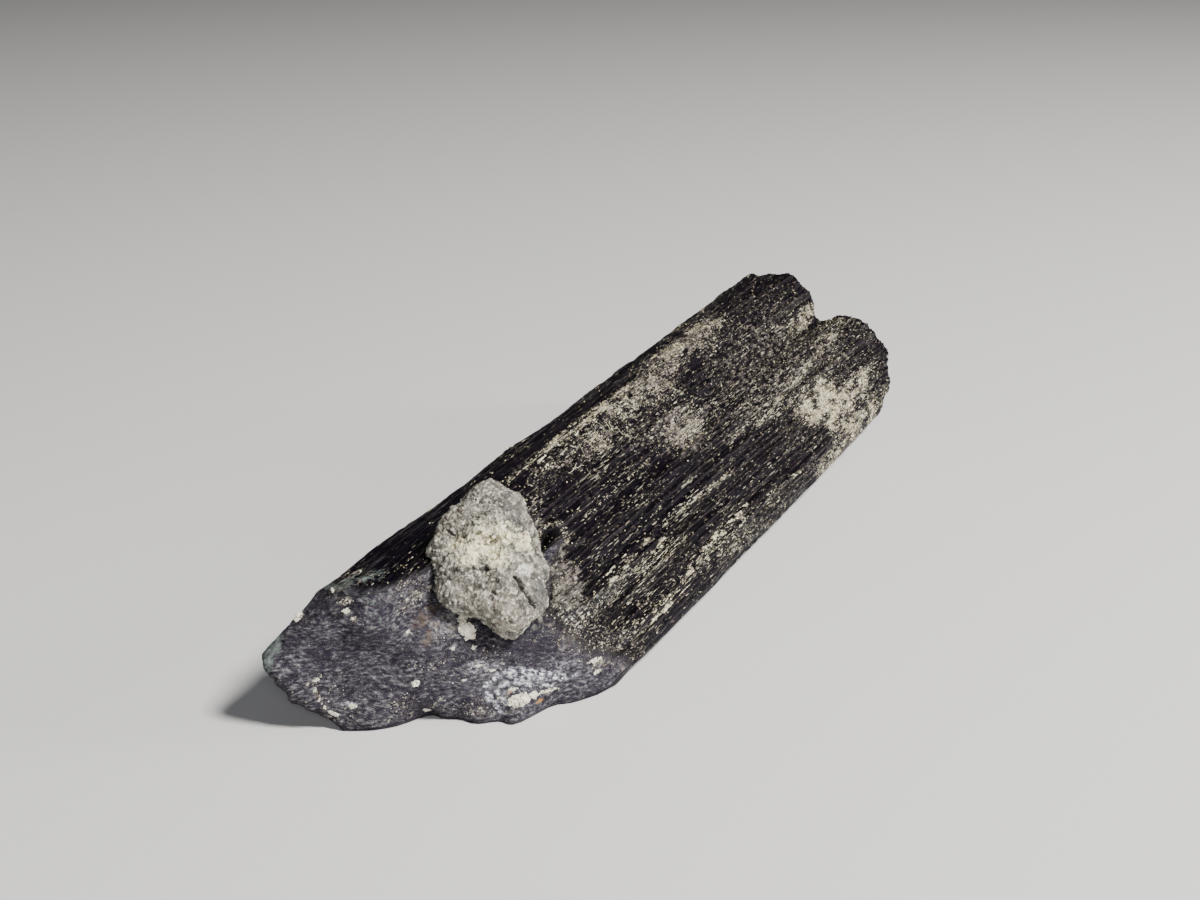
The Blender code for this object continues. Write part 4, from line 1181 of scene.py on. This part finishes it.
def build_grit(material, sides):
    """The loose cream crust on the sides: grains, slivers and coarse seams."""
    crust, s, x, place = sides["crust"], sides["s"], sides["x"], sides["place"][:, None]
    off_sole = (place >= CLEAR_OF_SOLE[0]) & (place <= CLEAR_OF_SOLE[1])
    # Off the crust the left slope is nearly bare.
    bare = 1 - 0.7 * smooth((place - 6.4) / 0.4) * (crust < 0.3)
    patchy = 0.35 + 0.65 * smooth(0.5 + 1.6 * layered(flat(s / 1.1, x / 1.6), 401))
    weight = np.clip(crust - 0.1, 0, 1) ** 1.3 * patchy + 0.1 * sides["film"] + 0.035
    weight = weight * off_sole * (1 - 0.75 * sides["gloss"] * (crust < 0.3)) * bare
    spot, normal, at = sow(sides, weight, GRAINS)
    dense = crust[at]
    sizes = (0.055 + 0.13 * rng.random(GRAINS) ** 2.4) * (0.85 + 0.55 * dense)
    tones = np.clip(rng.normal(0.42, 0.24, GRAINS) + 0.12 * dense, 0, 1)
    points, faces, tone = crumbs(spot, normal, sizes, tones)
    # Bright slivers lie along the grooves and the crest, and coarser bits along the seams: how
    # many, the thinnest and the coarsest in mm, and how drawn out the longest are.
    slivers = (patches(SLIVER_PATCHES, s, x, 402) ** 1.6 + 0.02 * bare) * off_sole
    broken_up = smooth(0.35 + 2.4 * clouds(flat(s / 0.5, x / 1.3), 404))
    seams = lines(CRUST_SEAMS, s, x, 403) ** 2 * broken_up
    crest = slivers * smooth(1.4 - np.abs(place - CREST) / 0.4) * (np.abs(x + 14) < 11.0)
    for weight, count, thin, coarse, longest in (
            (slivers, 1150, 0.028, 0.06, 14.0), (crest, 260, 0.03, 0.055, 18.0),
            (seams, 720, 0.035, 0.11, 4.5), (seams, 100, 0.11, 0.24, 1.7)):
        spot, normal, _ = sow(sides, weight, count)
        sizes = thin + (coarse - thin) * rng.random(count) ** 1.6
        more, more_faces, more_tone = crumbs(spot, normal, sizes, rng.uniform(0.55, 1.0, count),
                                             rng.uniform(1.0, longest, count))
        faces += [tuple(len(points) + corner for corner in face) for face in more_faces]
        points, tone = np.concatenate((points, more)), np.concatenate((tone, more_tone))
    make_piece("crust_grit", points, faces, material, {"tone": tone}, False)


def build_chips(material, broken_end):
    """Milky chips and a white nodule on the break, each a close heap of angular crumbs."""
    heaps = []
    for across, up, wide, tall, out in QUARTZ_CHIPS:
        count = int(16 + 130 * wide * tall)
        turn, reach = rng.uniform(0.0, 2 * math.pi, count), rng.random(count) ** 0.55
        y, z = across + wide * reach * np.cos(turn), up + tall * reach * np.sin(turn)
        dome = out * (1 - reach ** 2) * rng.uniform(0.35, 0.8, count) - 0.05
        slopes = [(broken_end.at(y + a, z + b) - broken_end.at(y - a, z - b)).clip(-0.6, 0.6)
                  for a, b in ((0.5, 0.0), (0.0, 0.5))]
        outward = unit(np.stack((-np.ones(count), *slopes), -1))
        spot = np.stack((broken_end.at(y, z) - break_relief(y, z), y, z), -1)
        sizes = rng.uniform(0.18, 0.44, count) * min(wide, tall, 0.8) + 0.05
        core = (np.arange(count) < 6) & (reach < 0.62) & (wide * tall > 0.25)
        tones = np.clip(rng.normal(0.9, 0.13, count) - 0.3 * reach ** 4, 0, 1)
        heaps.append((spot + outward * dome[:, None], outward,
                      np.where(core, 0.5 * min(wide, tall), sizes), tones))
    # The nodule is a rounded knob of its own, standing clear of the break.
    across, up, *radii = NODULE
    middle = np.array((broken_end.at(across, up) - 0.15, across, up))
    ball = unit(rng.normal(size=(NODULE_CRUMBS, 3)))
    ball[:, 0] = -np.abs(ball[:, 0])
    spot = middle + ball * rng.uniform(0.45, 0.85, NODULE_CRUMBS)[:, None] * np.roll(radii, 1)
    sizes = rng.uniform(0.16, 0.46, NODULE_CRUMBS)
    # The lower crumbs of the nodule are painted darker: painted shade on its underside.
    tones = rng.normal(0.93, 0.1, NODULE_CRUMBS) + 0.2 * (ball[:, 2] - 0.2).clip(-1, 0)
    heaps.append((spot, ball, sizes, np.clip(tones, 0, 1)))
    points, faces, tone = crumbs(*(np.concatenate(column) for column in zip(*heaps)))
    make_piece("quartz_chips", points, faces, material, {"tone": tone}, False)


def surface_spot(sides, place, x):
    """A point on the fine sides at a place and x."""
    i = round(float(np.interp(place, sides["place"], np.arange(len(sides["place"])))))
    row = sides["x"][i]
    j = int(np.clip(np.searchsorted(row, x), 1, len(row) - 1))
    t = (x - row[j - 1]) / (row[j] - row[j - 1])
    return np.array([sides[axis][i, j - 1] * (1 - t) + sides[axis][i, j] * t for axis in "xyz"])


def build_threads(material, sides):
    """Thin curled threads of crust lying on the shoulder below the crest."""
    points, faces, tones = np.empty((0, 3)), [], []
    turns = np.arange(THREAD_SIDES) * 2 * math.pi / THREAD_SIDES
    for _ in range(THREADS):
        place, x = rng.uniform(5.42, 5.82), rng.uniform(-18.0, -2.0)
        heading, bend = rng.uniform(0.0, 2 * math.pi), rng.uniform(-0.07, 0.07)
        radius, tone = rng.uniform(0.02, 0.034), rng.uniform(0.55, 0.95)
        path = []
        for _ in range(int(rng.integers(6, 15))):
            path.append(surface_spot(sides, place, x) + np.array((0.0, -0.03, 0.07)))
            heading += bend + rng.uniform(-0.07, 0.07)
            x += 0.26 * math.cos(heading)
            place += 0.026 * math.sin(heading)
        path = np.array(path)
        run = unit(np.gradient(path, axis=0))
        side = unit(np.cross(run, (0.0, -0.4, 0.9)))
        top = np.cross(side, run)
        taper = radius * np.sin(np.linspace(0.35, math.pi - 0.35, len(path))) ** 0.5
        rings = [path + taper[:, None] * (math.cos(a) * side + math.sin(a) * top) for a in turns]
        index = len(points) + np.arange(len(path) * THREAD_SIDES).reshape(-1, THREAD_SIDES)
        beside = np.roll(index, -1, axis=1)
        skin = np.stack((index[:-1], beside[:-1], beside[1:], index[1:]), -1).reshape(-1, 4)
        faces += [tuple(face) for face in skin.tolist()]
        faces += [tuple(index[0].tolist()), tuple(index[-1, ::-1].tolist())]
        points = np.concatenate((points, np.stack(rings, 1).reshape(-1, 3)))
        tones += [tone] * index.size
    make_piece("crust_threads", points, faces, material, {"tone": np.array(tones)})


# ---- floor, light and camera ----

def build_floor():
    side, level = 6.0, -0.0001
    mesh = bpy.data.meshes.new("pale_floor")
    corners = ((-side, -side), (side, -side), (side, side), (-side, side))
    mesh.from_pydata([(x, y, level) for x, y in corners], [], [(0, 1, 2, 3)])
    material = bpy.data.materials.new("floor_paper")
    material.use_nodes = True
    shader = material.node_tree.nodes["Principled BSDF"]
    shader.inputs["Base Color"].default_value = painted((0.7, 0.695, 0.69))
    shader.inputs["Roughness"].default_value = 0.9
    mesh.materials.append(material)
    put_in_scene("pale_floor", mesh)


VIEW_AHEAD = Vector((0.907, 0.421, 0.0)).normalized()
VIEW_RIGHT = Vector((VIEW_AHEAD.y, -VIEW_AHEAD.x, 0.0))
CAMERA_PLACE = (-0.24224, -0.10575, 0.1116)
CAMERA_PITCH = math.radians(19.9)


def aim(thing, direction):
    thing.rotation_euler = direction.to_track_quat("-Z", "Y").to_euler()


def build_camera():
    data = bpy.data.cameras.new("studio_camera")
    data.sensor_width, data.lens = 36.0, 55.5
    data.clip_start = 0.01
    camera = put_in_scene("studio_camera", data)
    camera.location = CAMERA_PLACE
    aim(camera, VIEW_AHEAD * math.cos(CAMERA_PITCH) - Vector((0.0, 0.0, math.sin(CAMERA_PITCH))))
    bpy.context.scene.camera = camera


def build_light(name, right, ahead, up, size, power, colour):
    """A round lamp, placed as the camera sees the crystal and turned to its middle."""
    data = bpy.data.lights.new(name, "AREA")
    data.shape, data.size, data.energy, data.color = "DISK", size, power, colour
    light = put_in_scene(name, data)
    light.location = VIEW_RIGHT * right + VIEW_AHEAD * ahead + Vector((0.0, 0.0, up))
    aim(light, Vector((0.0, 0.0, 0.012)) - light.location)


def build_studio():
    build_light("key", 0.42, -0.3, 0.62, 0.2, 12.8, (1.0, 0.98, 0.95))
    build_light("side", 0.85, 0.1, 0.3, 0.24, 3.0, (1.0, 0.99, 0.97))
    build_light("fill", 0.05, -0.9, 0.36, 0.4, 3.1, (0.95, 0.96, 1.0))
    world = bpy.data.worlds.new("soft_room")
    world.use_nodes = True
    background = world.node_tree.nodes["Background"]
    background.inputs["Color"].default_value = painted((0.86, 0.88, 0.92))
    background.inputs["Strength"].default_value = 0.06
    bpy.context.scene.world = world


build_camera()
build_floor()
build_studio()
cream_grit = grit_material()
broken_end, prism_sides = build_crystal(schorl_material())
build_chips(quartz_material(), broken_end)
build_lump(matrix_material())
build_grit(cream_grit, prism_sides)
build_threads(cream_grit, prism_sides)
